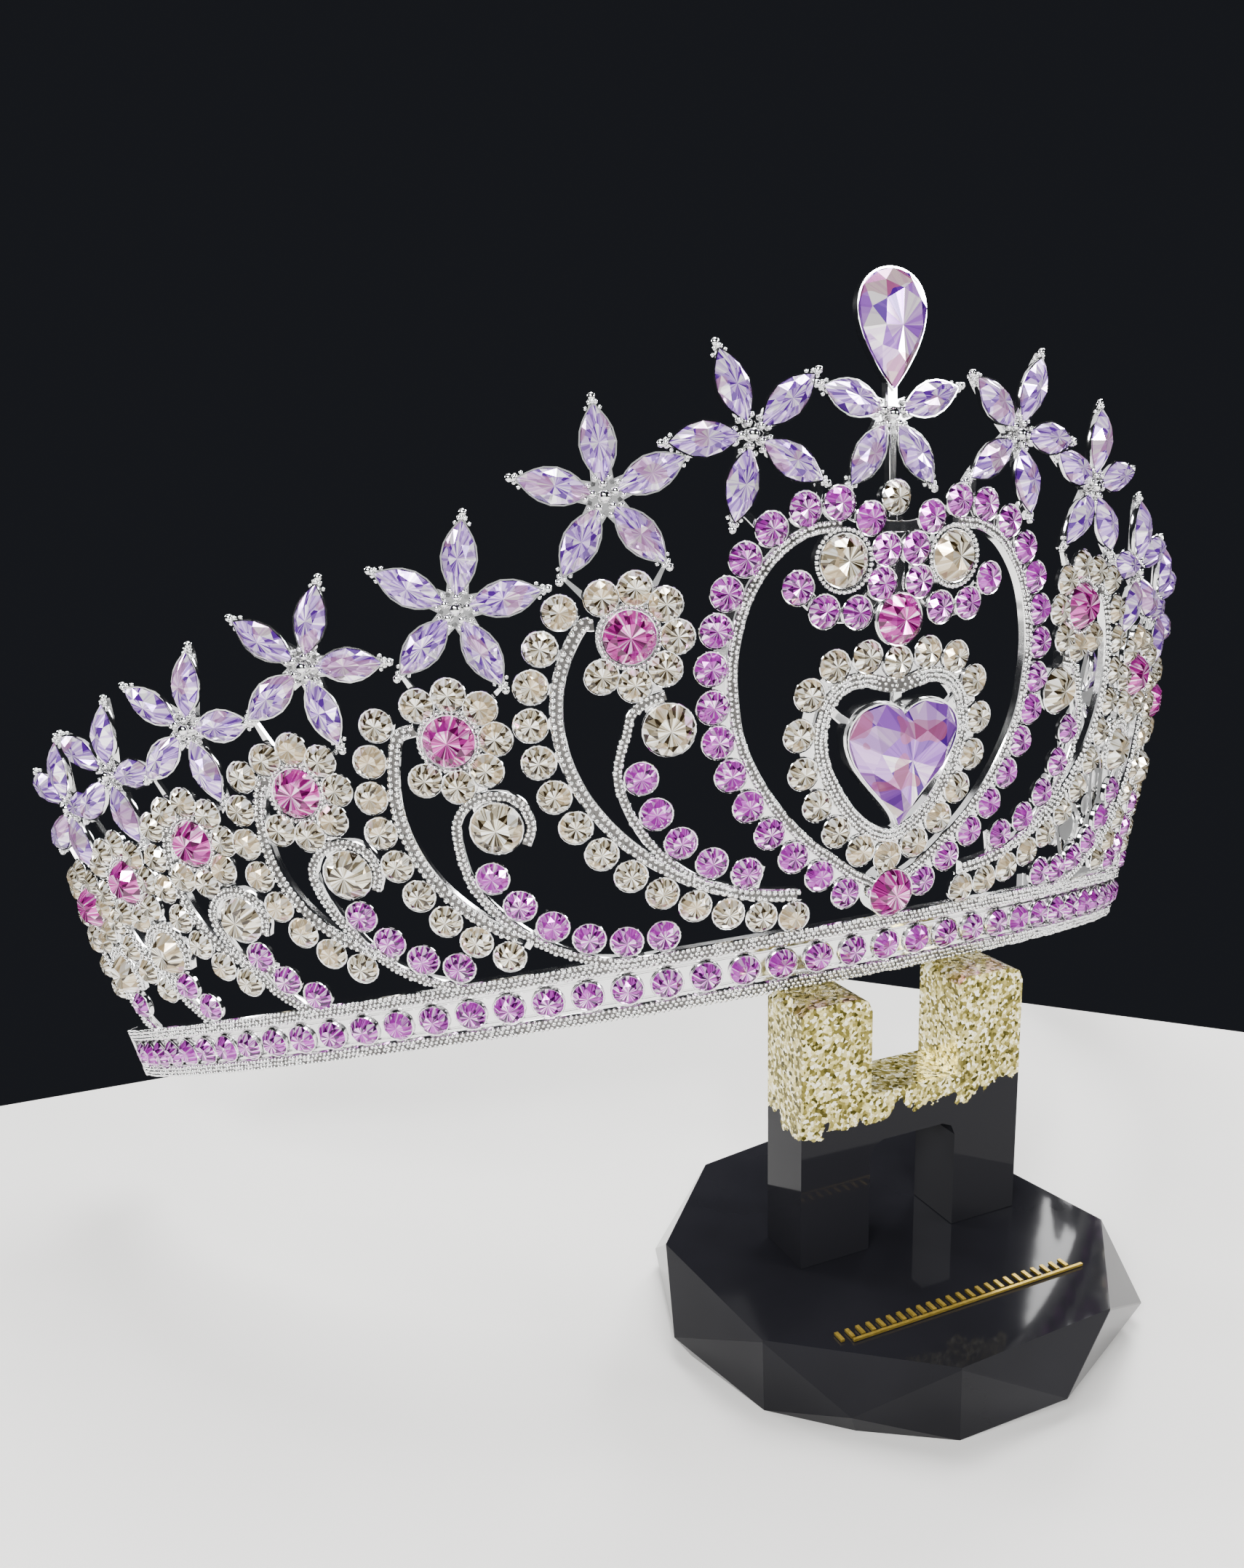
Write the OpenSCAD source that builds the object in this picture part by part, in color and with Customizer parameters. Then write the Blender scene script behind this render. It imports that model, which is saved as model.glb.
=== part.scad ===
// Rhinestone tiara resting on a small two-post display stand.
// Millimetres: x runs across the front, y to the back, z up from the floor.
// Every place on the tiara is given as s, the distance along the rail from its middle,
// and z, the height over the rail, and is then put on the flared sheet.

/* [Sheet] */
// Radius of the rail at the front
front_radius = 92; // [80:1:110]
// Extra turn of the rail 100 mm from its middle, in degrees
side_turn = 2.9; // [0:0.1:8]
// Outward slope of the sheet at the front, mm out per mm up
flare = 0.508; // [0.2:0.01:0.7]
// Slope lost 100 mm from the middle
flare_fade = 0.132; // [0:0.01:0.2]
// Slope lost per mm of height, halved
flare_curve = 0.00147; // [0:0.0001:0.003]
// Distance of the back of the sheet behind the row of stones
sheet_back = 0.8; // [0.4:0.1:1.5]
// Backward lean of the whole tiara on the stand, degrees
pitch = 20.1; // [0:0.5:30]
// Height of the rail's lower edge over the floor at the front
rail_height = 48.3; // [45:0.1:60]

/* [Rail] */
// Distance between two rail stones
stone_pitch = 4.9; // [4.4:0.1:6]
// Rail stones on each side of the middle one
rail_side_stones = 25; // [10:1:27]
// Half the rail's length
rail_half = 127; // [60:1:135]
// Sideways place of the middle rail stone
rail_shift = 1; // [-2:0.1:2]
// Height of the rail stones
rail_stone_z = 2.7; // [2:0.05:4]
// Height of the lower wire
lower_wire_z = 0.1; // [0:0.05:1]
// Height of the upper wire
upper_wire_z = 5.85; // [5:0.05:7]
// Width of the rail's two wires
rail_wire_w = 1.4; // [0.8:0.1:2]

/* [Wires and cups] */
// Width of a bead wire
wire_w = 1.1; // [0.8:0.1:2]
// Depth of a bead wire
wire_d = 1.3; // [0.8:0.1:2]
// Depth of the plate under the stones
plate_d = 0.6; // [0.4:0.1:1]
// Distance from a row of stones to its wire
wire_gap = 2.6; // [2:0.05:3]

/* [Stones] */
// Diameter of the small round stones
small_d = 3.8; // [3:0.1:4.5]
// Diameter of the large round stones
large_d = 6; // [5:0.1:7.5]
// Length of a petal stone
petal_l = 8.2; // [6:0.1:10]
// Width of a petal stone
petal_w = 4.2; // [3:0.1:5]
// Distance of a petal stone's middle from the flower's middle
petal_out = 5.7; // [5:0.1:7]
// Width of the heart
heart_w = 15.8; // [12:0.1:20]
// Height of the heart
heart_h = 15.6; // [12:0.1:20]
// Width of the drop
drop_w = 9.8; // [8:0.1:13]
// Height of the drop
drop_h = 13.4; // [12:0.1:18]

/* [Stand] */
// Width across the two posts
posts_w = 33.8; // [28:0.1:40]
// Sideways place of the middle of the posts
posts_x = 1.8; // [-4:0.1:4]
// Height of the posts
posts_h = 34.9; // [30:0.1:45]
// Depth of the posts
posts_d = 8.2; // [6:0.1:12]
// Front of the posts, in front of the rail
posts_y = -6.2; // [-10:0.1:0]
// Gap between the posts
notch_w = 13.3; // [8:0.1:16]
// Depth of the gap over the bridge
notch_h = 13.2; // [8:0.1:20]
// Height of the bridge between the posts
bridge_h = 6.6; // [4:0.1:10]
// Height of the base
base_h = 12; // [8:0.5:18]

/* [Hidden] */
// Scrolls of one side, from the middle outwards. Each row: the rosette's s and z; the first
// outer stone from there, the heading to the next, its turn and fade per stone, their count;
// and the same for the inner stones, without a fade.
scrolls = [
  [28, 42.5, [-6.2, 3.7], 236, 12.7, 0.255, 14, [-0.6, -15.4], 285, 16.7, 5],
  [47.1, 34.7, [-6.9, 3.3], 245.5, 11.3, 0, 9, [1.1, -16.1], 301.5, 14.6, 6],
  [65, 32.5, [-6, 3.3], 245, 13.2, 0, 8, [2.7, -15.7], 303, 17.5, 4],
  [81.6, 29.6, [-5.7, 3.3], 247, 15, 0, 7, [3.4, -15.5], 306, 18, 3],
  [97.6, 27.2, [-5.5, 3.3], 248, 17, 0, 6, [3.6, -15.3], 312, 18, 2],
  [113, 25.6, [-5.5, 3.3], 248, 19, 0, 5, [3, -15.3], 318, 18, 1]];
// Flowers of one side: s, z and the turn of the first petal.
flowers = [
  [14.85, 62, 37.5], [28.6, 57.4, 18], [43.6, 48.5, 2], [60, 46, -9],
  [76.6, 42.9, -8], [92.7, 40.9, -9], [108, 39.6, -6]];
// Half of the wreath around the heart, from the top down.
wreath = [[0, 36.4], [3.7, 37.3], [7.45, 36.6], [10.3, 33.7], [11.55, 29.3],
  [11.1, 24.9], [9.4, 21], [7, 17.6], [3.75, 14.95], [0, 13.8]];
// The middle loop's stones on one side, from the bottom up.
loop_row = [[5.5, 10.1], [9, 12.7], [12.3, 15.4], [15.1, 18.6], [17.4, 22.1], [19.2, 25.9],
  [20.3, 29.8], [20.6, 33.7], [20.5, 37.9], [19.7, 41.9], [18.4, 45.7], [16.4, 49.1],
  [13.7, 52], [10.3, 53.8], [6.8, 54.2], [3.5, 52.4]];
// Stones between the two lobes of the middle loop, one side.
cluster = [[1.7, 49], [2.2, 45.3], [4.95, 42.3], [8.6, 42.7], [11.3, 45.5]];
// Large stone in a lobe: s and z. Then z of the pink stones and the small clear one on the
// middle line, and the height of the lower pink one, which stands over the wreath.
lobe = [6.4, 48];
upper_pink_z = 41.2;
lower_pink_z = 9.8;
lower_pink_n = 2.1;
crest_z = 54.6;
// Arms of each rosette's plate towards two petal tips: angle and length.
arms = [[[131, 9.9], [56, 9]], [[114, 9.2], [34, 9]], [[107, 10.2], [30, 8.5]],
  [[108, 9.8], [28, 8.4]], [[109, 10.3], [31, 8.2]], [[109, 10.4], [32, 8.3]]];
// Short bars of one side, each from one s, z and depth to another.
bars = [[16.2, 54.1, -0.5, 13.9, 51.1, 0.1], [8.7, 56.7, -0.5, 8.7, 53.5, 0.1],
  [16, 14.9, 0.2, 17.4, 10.9, 0.2], [40.7, 13.5, 0.2, 44.1, 9.7, 0.2]];
// Wire over the top of a large clear stone, from the stone's middle.
hook = [[3.7, 0.3], [2.85, 2.6], [0.8, 3.9], [-1.4, 3.75], [-3.3, 2.4], [-4.6, 0]];
metal = [0.82, 0.82, 0.84];
lilac = [0.72, 0.6, 0.86];
purple = [0.68, 0.35, 0.75];
pink = [0.8, 0.4, 0.68];
clear = [0.9, 0.87, 0.8];
black = [0.07, 0.07, 0.08];
gold = [0.8, 0.66, 0.3];
step = 2;

// Heading of the rail at s, and the rail's line summed from the middle.
function heading(s) = s / front_radius * 180 / PI + side_turn * pow(s / 100, 3);
line = [for (i = 0, x = 0, y = 0; i <= 70;
  x = x + step * cos(heading((i + 0.5) * step)),
  y = y + step * sin(heading((i + 0.5) * step)), i = i + 1) [i * step, x, y]];
line_x = [for (r = line) [r[0], r[1]]];
line_y = [for (r = line) [r[0], r[2]]];
function slope(s) = flare - flare_fade * pow(s / 100, 2);
function lean(s, z) = slope(s) - 2 * flare_curve * z;
function tilt(p) = [p[0], p[1] * cos(pitch) + p[2] * sin(pitch),
  p[2] * cos(pitch) - p[1] * sin(pitch)];
function along(s) = tilt([cos(heading(s)), sin(heading(s)), 0]);
function outward(s, z) = tilt([sin(heading(s)), -cos(heading(s)), -lean(s, z)])
  / sqrt(1 + pow(lean(s, z), 2));
function upward(s, z) = cross(outward(s, z), along(s));
// The point on the sheet at s and z, n in front of its back.
function at(s, z, n = 0) = let (h = heading(s),
    o = slope(s) * z - flare_curve * z * z - sheet_back)
  tilt([sign(s) * lookup(abs(s), line_x) + sin(h) * o, lookup(abs(s), line_y) - cos(h) * o, z])
  + n * outward(s, z) + [0, 0, rail_height];

// Puts flat children on the sheet, facing outwards.
module place(s, z, n = 0, turn = 0) {
  a = along(s);
  u = upward(s, z);
  o = outward(s, z);
  p = at(s, z, n);
  multmatrix([[a[0], u[0], o[0], p[0]], [a[1], u[1], o[1], p[1]], [a[2], u[2], o[2], p[2]],
    [0, 0, 0, 1]]) rotate(turn) children();
}

// A bar with one section swept along a row of s, z places. The section lists its
// across and outward measures anticlockwise.
module bar(path, section, closed = false) {
  n = len(path);
  m = len(section);
  points = [for (i = [0 : n - 1]) let (
      a = path[closed ? (i + n - 1) % n : max(i - 1, 0)],
      c = path[closed ? (i + 1) % n : min(i + 1, n - 1)],
      s = path[i][0], z = path[i][1], o = outward(s, z),
      d = at(c[0], c[1]) - at(a[0], a[1]),
      b = cross(o, d), p = at(s, z))
    for (q = section) p + q[0] * b / norm(b) + q[1] * o];
  last = closed ? n - 1 : n - 2;
  polyhedron(points, concat(
    [for (i = [0 : last], k = [0 : m - 1]) let (j = (i + 1) % n, l = (k + 1) % m)
      [i * m + k, j * m + k, j * m + l, i * m + l]],
    closed ? [] : [[for (k = [0 : m - 1]) k], [for (k = [m - 1 : -1 : 0]) (n - 1) * m + k]]),
    convexity = 8);
}
function flat_bar(w, low, high) = [[-w / 2, low], [w / 2, low], [w / 2, high], [-w / 2, high]];
function mirrored(section, side) = side < 0 ? section
  : [for (i = [len(section) - 1 : -1 : 0]) [-section[i][0], section[i][1]]];

// Section of a seat under a string of stones, with its wire on the left of the way, whose
// outer side is edge away from the stones.
function seat(edge) = [[-0.7, 0], [edge, 0], [edge, wire_d], [wire_gap - wire_w / 2, wire_d],
  [wire_gap - wire_w / 2, plate_d], [-0.7, plate_d]];
// Backs of the side flowers and of the middle flower, and the base of the round stones.
flower_n = -0.7;
crest_n = -2.4;
stone_n = 0.75;

// Places of a row of count stones that starts at p and turns as it goes.
function row(p, h, turn, fade, count, pace) = [for (i = 0, q = p, a = h; i < count;
  q = q + pace * [cos(a), sin(a)], i = i + 1, a = h + turn * i - fade * i * i) q];
function outer_row(r, more = 0) = row([-r[0], r[1]] + r[2], r[3], r[4], r[5], r[6] + more, 4.15);
function inner_row(r, more = 0) = row([-r[0], r[1]] + r[7], r[8], r[9], 0, r[10] + more, 4.37);
function sided(path, side) = [for (p = path) [-side * p[0], p[1]]];
// A row moved sideways by d, to the left of its way.
function moved(path, d) = [for (i = [0 : len(path) - 1]) let (a = path[max(i - 1, 0)],
    c = path[min(i + 1, len(path) - 1)], v = (c - a) / norm(c - a))
  path[i] + d * [-v[1], v[0]]];
function other_half(half, last) = [for (i = [last : -1 : 0]) if (half[i][0] > 0)
  [-half[i][0], half[i][1]]];
loop_all = concat(other_half(loop_row, 15), loop_row);
// The loop's seat runs under all of its stones but the last of each side.
loop_seat = concat([[2.2, 8.8]], [for (i = [0 : 14]) loop_row[i]]);
wreath_all = concat(wreath, other_half(wreath, 9));

// Outlines of the fancy cuts, about their middles.
function petal_shape(grow = 0) = [for (x = [-1, -0.55, 0, 0.55]) [x * (petal_l / 2 + grow),
    -(1 - x * x) * (petal_w / 2 + grow)], for (x = [1, 0.55, 0, -0.55]) [x * (petal_l / 2 + grow),
    (1 - x * x) * (petal_w / 2 + grow)]];
function heart_shape(grow = 0) = [for (t = [0 : 18 : 342]) [(heart_w / 2 + grow) * -pow(sin(t), 3),
  (13 * cos(t) - 4 * cos(2 * t) - 1.2 * cos(3 * t) - 0.3 * cos(4 * t) + 2.9) / 26.5
  * (heart_h + 2 * grow)]];
function drop_shape(grow = 0) = [for (t = [0 : 20 : 340]) [(drop_w / 2 + grow) * 1.22 * sin(t)
  * sin(t / 2), -cos(t) * (drop_h / 2 + grow)]];

// A cut stone: flat back, eight or more crown facets, table.
module round_stone(s, z, n, d) {
  place(s, z, n, 22.5) cylinder(h = d * 0.3, r1 = d / 2, r2 = d * 0.28, $fn = 8);
}
module cut_stone(shape, h, table) {
  m = len(shape);
  polyhedron(concat([for (p = shape) [p[0], p[1], 0]], [for (p = shape) [p[0] * table, p[1] * table, h]]),
    concat([[for (k = [0 : m - 1]) k], [for (k = [m - 1 : -1 : 0]) m + k]],
    [for (k = [0 : m - 1]) [k, m + k, m + (k + 1) % m, (k + 1) % m]]));
}
module string_of(path) {
  for (p = path) round_stone(p[0], p[1], stone_n, small_d);
}

// Metal of one flower: a star of petal cups with pointed tips.
module flower_metal(s, z, first, n, petals) {
  place(s, z, n, first) linear_extrude(0.9) polygon([for (i = petals, q = [[2.6, -36],
    [6, -23], [11, 0], [6, 23]]) q[0] * [cos(72 * i + q[1]), sin(72 * i + q[1])]]);
}
module flower_stones(s, z, first, n, petals) {
  for (i = petals) place(s, z, n + 1.1, first + 72 * i)
    translate([petal_out, 0, 0]) cut_stone(petal_shape(), 1.4, 0.5);
}

module tiara_frame() {
  color(metal) {
    // Rail: a strip with a wire along each edge, and a small end bar each side.
    low = lower_wire_z - rail_wire_w / 2 - rail_stone_z;
    top = upper_wire_z + rail_wire_w / 2 - rail_stone_z;
    bar([for (i = [-11 : 11]) [i / 11 * rail_half, rail_stone_z]], [[low, 0], [top, 0],
      [top, wire_d], [top - rail_wire_w, wire_d], [top - rail_wire_w, plate_d],
      [low + rail_wire_w, plate_d], [low + rail_wire_w, wire_d], [low, wire_d]]);
    for (side = [-1, 1]) place(side * rail_half, 3, 0.65) cube([2, 7.6, 1.5], center = true);
    // Middle loop, open at its top, and wreath: stones on a plate, the wire inside them.
    bar(concat(other_half(loop_seat, 15), loop_seat), seat(3.1));
    bar(wreath_all, mirrored(seat(3.5), 1), closed = true);
    // Middle bar, the cross bar that shuts the loop, and the bar behind it up to the crest.
    bar([[0, 36], [0, 52]], flat_bar(1.6, 0.1, 0.5));
    bar([[-6.8, 53.8], [-3.5, 52], [0, 51.4], [3.5, 52], [6.8, 53.8]], flat_bar(1.4, 0, plate_d));
    bar([[0, 50.8], [0, 52.5]], flat_bar(1, crest_n + 0.2, 0.4));
    bar([[0, 51], [0, 64]], flat_bar(1, crest_n + 0.2, crest_n + 1.2));
    // Heart cup and its three holders.
    place(0, 25, -0.1) linear_extrude(2.2) polygon(heart_shape(0.7));
    place(0, 30, 0.1) translate([-0.7, 0, 0]) cube([1.4, 4, 0.9]);
    for (side = [-1, 1]) place(side * 6.4, 30.3, 0.1, -side * 48)
      translate([-0.7, 0, 0]) cube([1.4, 3.4, 0.9]);
    // Plates of the large stones on the middle line and in the lobes.
    place(0, upper_pink_z, -0.1) cylinder(h = 0.6, r = large_d / 2 + 0.4, $fn = 8);
    place(0, lower_pink_z, -0.1) cylinder(h = 0.6, r = large_d / 2 + 0.8, $fn = 8);
    place(0, lower_pink_z, -0.1) cylinder(h = lower_pink_n, r = large_d / 2 - 0.9, $fn = 6);
    place(0, crest_z, -2) cylinder(h = 1.4, r = small_d / 2, $fn = 8);
    for (side = [-1, 1]) {
      place(side * lobe[0], lobe[1], -0.1) cylinder(h = 0.6, r = large_d / 2 + 1, $fn = 8);
      bar(sided(concat([[0.9, 50.4]], cluster), side), flat_bar(2.4, 0, plate_d));
      for (b = bars) hull() for (e = [0, 3])
        place(side * b[e], b[e + 1], b[e + 2]) linear_extrude(0.4) square(0.9, center = true);
      for (i = [0 : 5]) scroll_metal(i, side);
      for (f = flowers) flower_metal(side * f[0], f[1], side < 0 ? f[2] : 180 - f[2],
        flower_n, [0 : 4]);
    }
    // Middle flower and the drop's cup.
    flower_metal(0, 63.7, -54, crest_n, [0, 1, 3, 4]);
    place(0, 72.8, crest_n) linear_extrude(1) polygon(drop_shape(0.25));
    place(0, 66, crest_n) translate([-0.8, -1, 0.1]) cube([1.6, 4, 0.8]);
  }
}

// One scroll: a plate under the rosette and the large stone with two arms to the flowers, the
// wire inside the outer string, and the wire that hooks over the large stone and runs down
// beside the inner string to the rail. The first scroll's hook starts higher, clear of the
// middle loop, and its outer wire has a foot. Three outer wires and the last inner wire run on
// past their last stone.
module scroll_metal(i, side) {
  r = scrolls[i];
  place(side * r[0], r[1], -0.6) linear_extrude(0.95) {
    rotate(-side * 15.6) circle(r = 5.3, $fn = 8);
    translate([-side * 3.1, -11.1]) rotate(22.5 - side * 15.6) circle(r = 3.7, $fn = 8);
    rotate(-side * 15.6) translate([-1, -9]) square([2, 6]);
  }
  place(side * r[0], r[1], -0.6) linear_extrude(0.7) for (q = arms[i])
    rotate(side < 0 ? q[0] : 180 - q[0]) polygon([[4, -1], [q[1] + 0.4, 0], [4, 1]]);
  outer = moved(concat([[-r[0] - 4, r[1] + 4.4]], outer_row(r, i > 1 && i < 5 ? 1 : 0)), wire_gap);
  foot = outer[len(outer) - 1];
  bar(sided(outer, side), flat_bar(wire_w, 0, wire_d));
  if (i == 0) bar(sided([foot, [foot[0] + 0.5, upper_wire_z]], side), flat_bar(0.9, 0.1, 0.5));
  bend = [for (k = [i == 0 ? 2 : 0 : 5]) hook[k] + [-r[0] + 2.8, r[1] - 10.5]];
  wire = moved(inner_row(r, i == 5 ? 1 : 0), -wire_gap);
  bar(sided(concat(bend, wire), side), flat_bar(wire_w, 0, wire_d));
}

module heart_stone() {
  color(lilac) place(0, 25, 2.2) cut_stone(heart_shape(), 2.8, 0.55);
}
module drop_stone() {
  color(lilac) place(0, 72.8, crest_n + 1.1) cut_stone(drop_shape(), 2.6, 0.55);
}
module rosette_stones(side) {
  color(pink) for (r = scrolls) round_stone(side * r[0], r[1], stone_n, large_d);
}
module scroll_stones(side) {
  color(clear) for (r = scrolls) round_stone(side * (r[0] - 2.8), r[1] - 10.5, stone_n, large_d);
}
module lobe_stone(side) {
  color(clear) round_stone(side * lobe[0], lobe[1], stone_n, large_d);
}
module upper_pink_stone() {
  color(pink) round_stone(0, upper_pink_z, stone_n, large_d);
}
module lower_pink_stone() {
  color(pink) round_stone(0, lower_pink_z, lower_pink_n, large_d);
}
module crest_small_stone() {
  color(clear) round_stone(0, crest_z, -0.5, small_d - 0.3);
}
module rail_stones() {
  color(purple) string_of([for (i = [-rail_side_stones : rail_side_stones])
    [i * stone_pitch + rail_shift, rail_stone_z]]);
}
module purple_string(side) {
  color(purple) for (i = [0, 1]) string_of(sided(inner_row(scrolls[i]), side));
}
module flower(i, side) {
  color(lilac) flower_stones(side * flowers[i][0], flowers[i][1],
    side < 0 ? flowers[i][2] : 180 - flowers[i][2], flower_n, [0 : 4]);
}
module stand_upright() {
  w = posts_w / 2;
  g = notch_w / 2;
  under = posts_h - notch_h - bridge_h;
  color(black) translate([posts_x, posts_y + posts_d, base_h]) rotate([90, 0, 0])
    linear_extrude(posts_d)
    polygon([[-w, 0], [-w, posts_h - 1], [-w + 1, posts_h], [-g - 2, posts_h],
      [-g - 0.6, posts_h - 0.6], [-g, posts_h - 2], [-g, posts_h - notch_h],
      [g, posts_h - notch_h], [g, posts_h - 1], [g + 1, posts_h], [w - 2, posts_h],
      [w - 0.6, posts_h - 0.6], [w, posts_h - 2], [w, 0], [g, 0], [g, under - 2],
      [g - 0.6, under - 0.6], [g - 2, under], [-g + 2, under], [-g + 0.6, under - 0.6],
      [-g, under - 2], [-g, 0]]);
}
// The base is a cut block: its top, its widest corners low on its sides, and its foot.
module stand_base() {
  color(black) hull() {
    translate([0, 0, base_h - 0.4]) linear_extrude(0.3) polygon([[-28, 6.4], [-13.9, 22.2],
      [6, 25.5], [22, 16], [27.1, -14], [14, -28.9], [-8.6, -29.8], [-26.3, -16]]);
    translate([0, 0, 2.9]) linear_extrude(0.2) polygon([[-30.1, -0.1], [-17.9, -22], [6.8, -30.2],
      [28.3, -20.5], [29.5, 2], [16, 25.5], [-4, 28.5], [-24, 18.5]]);
    linear_extrude(0.4) polygon([[-21, 20], [-28, -0.8], [-24.6, -13.4], [-16.6, -21],
      [-6.6, -27.5], [9.3, -27.6], [25.5, -19], [27, 3], [14.5, 23.5], [-4, 26.3]]);
  }
}
// A plain raised line with a row of small bars over it, on the base in front of the posts.
module gold_rule() {
  color(gold) {
    translate([-17, -21, base_h]) cube([34.2, 0.35, 0.3]);
    for (i = [0 : 23]) translate([-18.4 + 1.45 * i, -20.4, base_h]) cube([0.5, 1.5, 0.3]);
  }
}

tiara_frame();
heart_stone();
drop_stone();
upper_pink_stone();
lower_pink_stone();
crest_small_stone();
lobe_stone(-1);  // lobe_stone_left
lobe_stone(1);  // lobe_stone_right
rail_stones();
color(purple) string_of(loop_all);  // loop_stones
color(clear) string_of(wreath_all);  // wreath_stones
color(purple)  // cluster_stones
  for (side = [-1, 1]) string_of(sided(cluster, side));
rosette_stones(-1);  // rosette_stones_left
rosette_stones(1);  // rosette_stones_right
scroll_stones(-1);  // scroll_stones_left
scroll_stones(1);  // scroll_stones_right
purple_string(-1);  // purple_string_left
purple_string(1);  // purple_string_right
color(lilac)  // flower_centre
  flower_stones(0, 63.7, -54, crest_n, [0, 1, 3, 4]);
flower(0, -1);  // flower_left_1
flower(1, -1);  // flower_left_2
flower(2, -1);  // flower_left_3
flower(3, -1);  // flower_left_4
flower(4, -1);  // flower_left_5
flower(5, -1);  // flower_left_6
flower(6, -1);  // flower_left_7
flower(0, 1);  // flower_right_1
flower(1, 1);  // flower_right_2
flower(2, 1);  // flower_right_3
flower(3, 1);  // flower_right_4
flower(4, 1);  // flower_right_5
flower(5, 1);  // flower_right_6
flower(6, 1);  // flower_right_7
stand_base();
stand_upright();
gold_rule();
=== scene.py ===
"""Dresses a rhinestone tiara on its stand: plated metalwork, bead wires, cups, cut stones and resin."""

import bpy
import numpy as np
from mathutils import Matrix, Vector


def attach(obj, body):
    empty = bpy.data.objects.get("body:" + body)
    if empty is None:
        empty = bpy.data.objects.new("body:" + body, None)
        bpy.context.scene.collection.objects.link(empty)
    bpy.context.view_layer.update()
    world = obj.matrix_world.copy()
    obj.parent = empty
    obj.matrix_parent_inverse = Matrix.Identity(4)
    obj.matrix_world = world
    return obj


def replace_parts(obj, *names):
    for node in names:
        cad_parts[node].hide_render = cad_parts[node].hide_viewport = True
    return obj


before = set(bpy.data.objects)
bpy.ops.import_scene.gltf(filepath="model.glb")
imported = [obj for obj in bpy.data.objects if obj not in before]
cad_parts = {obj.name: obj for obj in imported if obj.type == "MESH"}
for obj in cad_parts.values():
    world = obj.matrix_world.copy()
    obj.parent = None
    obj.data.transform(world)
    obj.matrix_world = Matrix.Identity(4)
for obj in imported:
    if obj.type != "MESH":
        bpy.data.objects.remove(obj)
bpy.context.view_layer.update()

# The camera is close to the tiara's left front and a little above it, as a hand-held phone was.
# Its place and lens come from a fit of the rail's stones and the stand to the photograph.
MM = 0.001
PHOTO_SIZE = (1710, 2156)
FOCAL_PIXELS = 1713.9
EYE = np.array([-90.5, -127.3, 106.75])
LOOK = np.array([0.3880, 0.8961, -0.2154])
UP = np.array([0.1090, 0.1876, 0.9762])


def unit(v):
    """Each vector over its own length."""
    return v / np.linalg.norm(v, axis=-1, keepdims=True)


def make_camera():
    """A camera at EYE that looks along LOOK; its lens is the focal length as a share of the long side."""
    data = bpy.data.cameras.new("camera")
    data.sensor_width = 36
    data.lens = FOCAL_PIXELS / max(PHOTO_SIZE) * data.sensor_width
    data.clip_start = 0.005
    data.clip_end = 20
    look = unit(LOOK)
    right = unit(np.cross(look, UP))
    turn = np.column_stack([right, np.cross(right, look), -look])
    camera = bpy.data.objects.new("camera", data)
    camera.matrix_world = Matrix.Translation(Vector(EYE * MM)) @ Matrix(turn.tolist()).to_4x4()
    bpy.context.collection.objects.link(camera)
    bpy.context.scene.camera = camera


make_camera()


# The light is soft and white: a broad source and a small one on the left of the camera, one on
# its right, one overhead, two behind, and a window and a ceiling panel farther off. The room
# itself is dark.
AIM = np.array([0.0, 10.0, 80.0])


def softbox(name, place, width, watts):
    """A square area light of the given width at place, in millimetres, that faces the tiara."""
    data = bpy.data.lights.new(name, "AREA")
    data.size = width * MM
    data.energy = watts
    light = bpy.data.objects.new(name, data)
    light.location = Vector(np.array(place) * MM)
    light.rotation_euler = Vector(AIM - place).to_track_quat("-Z", "Y").to_euler()
    bpy.context.collection.objects.link(light)


softbox("key", (-420, -380, 440), 200, 5.6)
softbox("fill", (380, -420, 260), 140, 2.0)
softbox("overhead", (60, 60, 620), 300, 5.4)
softbox("back_left", (-380, 380, 300), 160, 2.4)
softbox("back_right", (420, 300, 330), 160, 2.4)
softbox("glint", (-190, -420, 330), 45, 1.6)
softbox("window", (-500, -900, 350), 900, 1.6)
softbox("ceiling", (0, 450, 900), 900, 3.0)

world = bpy.data.worlds.new("room")
world.use_nodes = True
world.node_tree.nodes["Background"].inputs["Color"].default_value = (0.012, 0.013, 0.016, 1)
world.node_tree.nodes["Background"].inputs["Strength"].default_value = 1
bpy.context.scene.world = world


# Every surface is finished by nodes. A material is written as sums on sockets, and any other
# node comes from one method.
class Socket:
    """A node's output. Arithmetic on it adds Math nodes."""

    def __init__(self, finish, output):
        self.finish = finish
        self.output = output

    def math(self, operation, *values):
        return self.finish.node("ShaderNodeMath", {"operation": operation}, *values)

    def __add__(self, other):
        return self.math("ADD", self, other)

    def __sub__(self, other):
        return self.math("SUBTRACT", self, other)

    def __rsub__(self, other):
        return self.math("SUBTRACT", other, self)

    def __mul__(self, other):
        return self.math("MULTIPLY", self, other)

    def __gt__(self, other):
        return self.math("GREATER_THAN", self, other)

    __radd__ = __add__
    __rmul__ = __mul__


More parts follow.
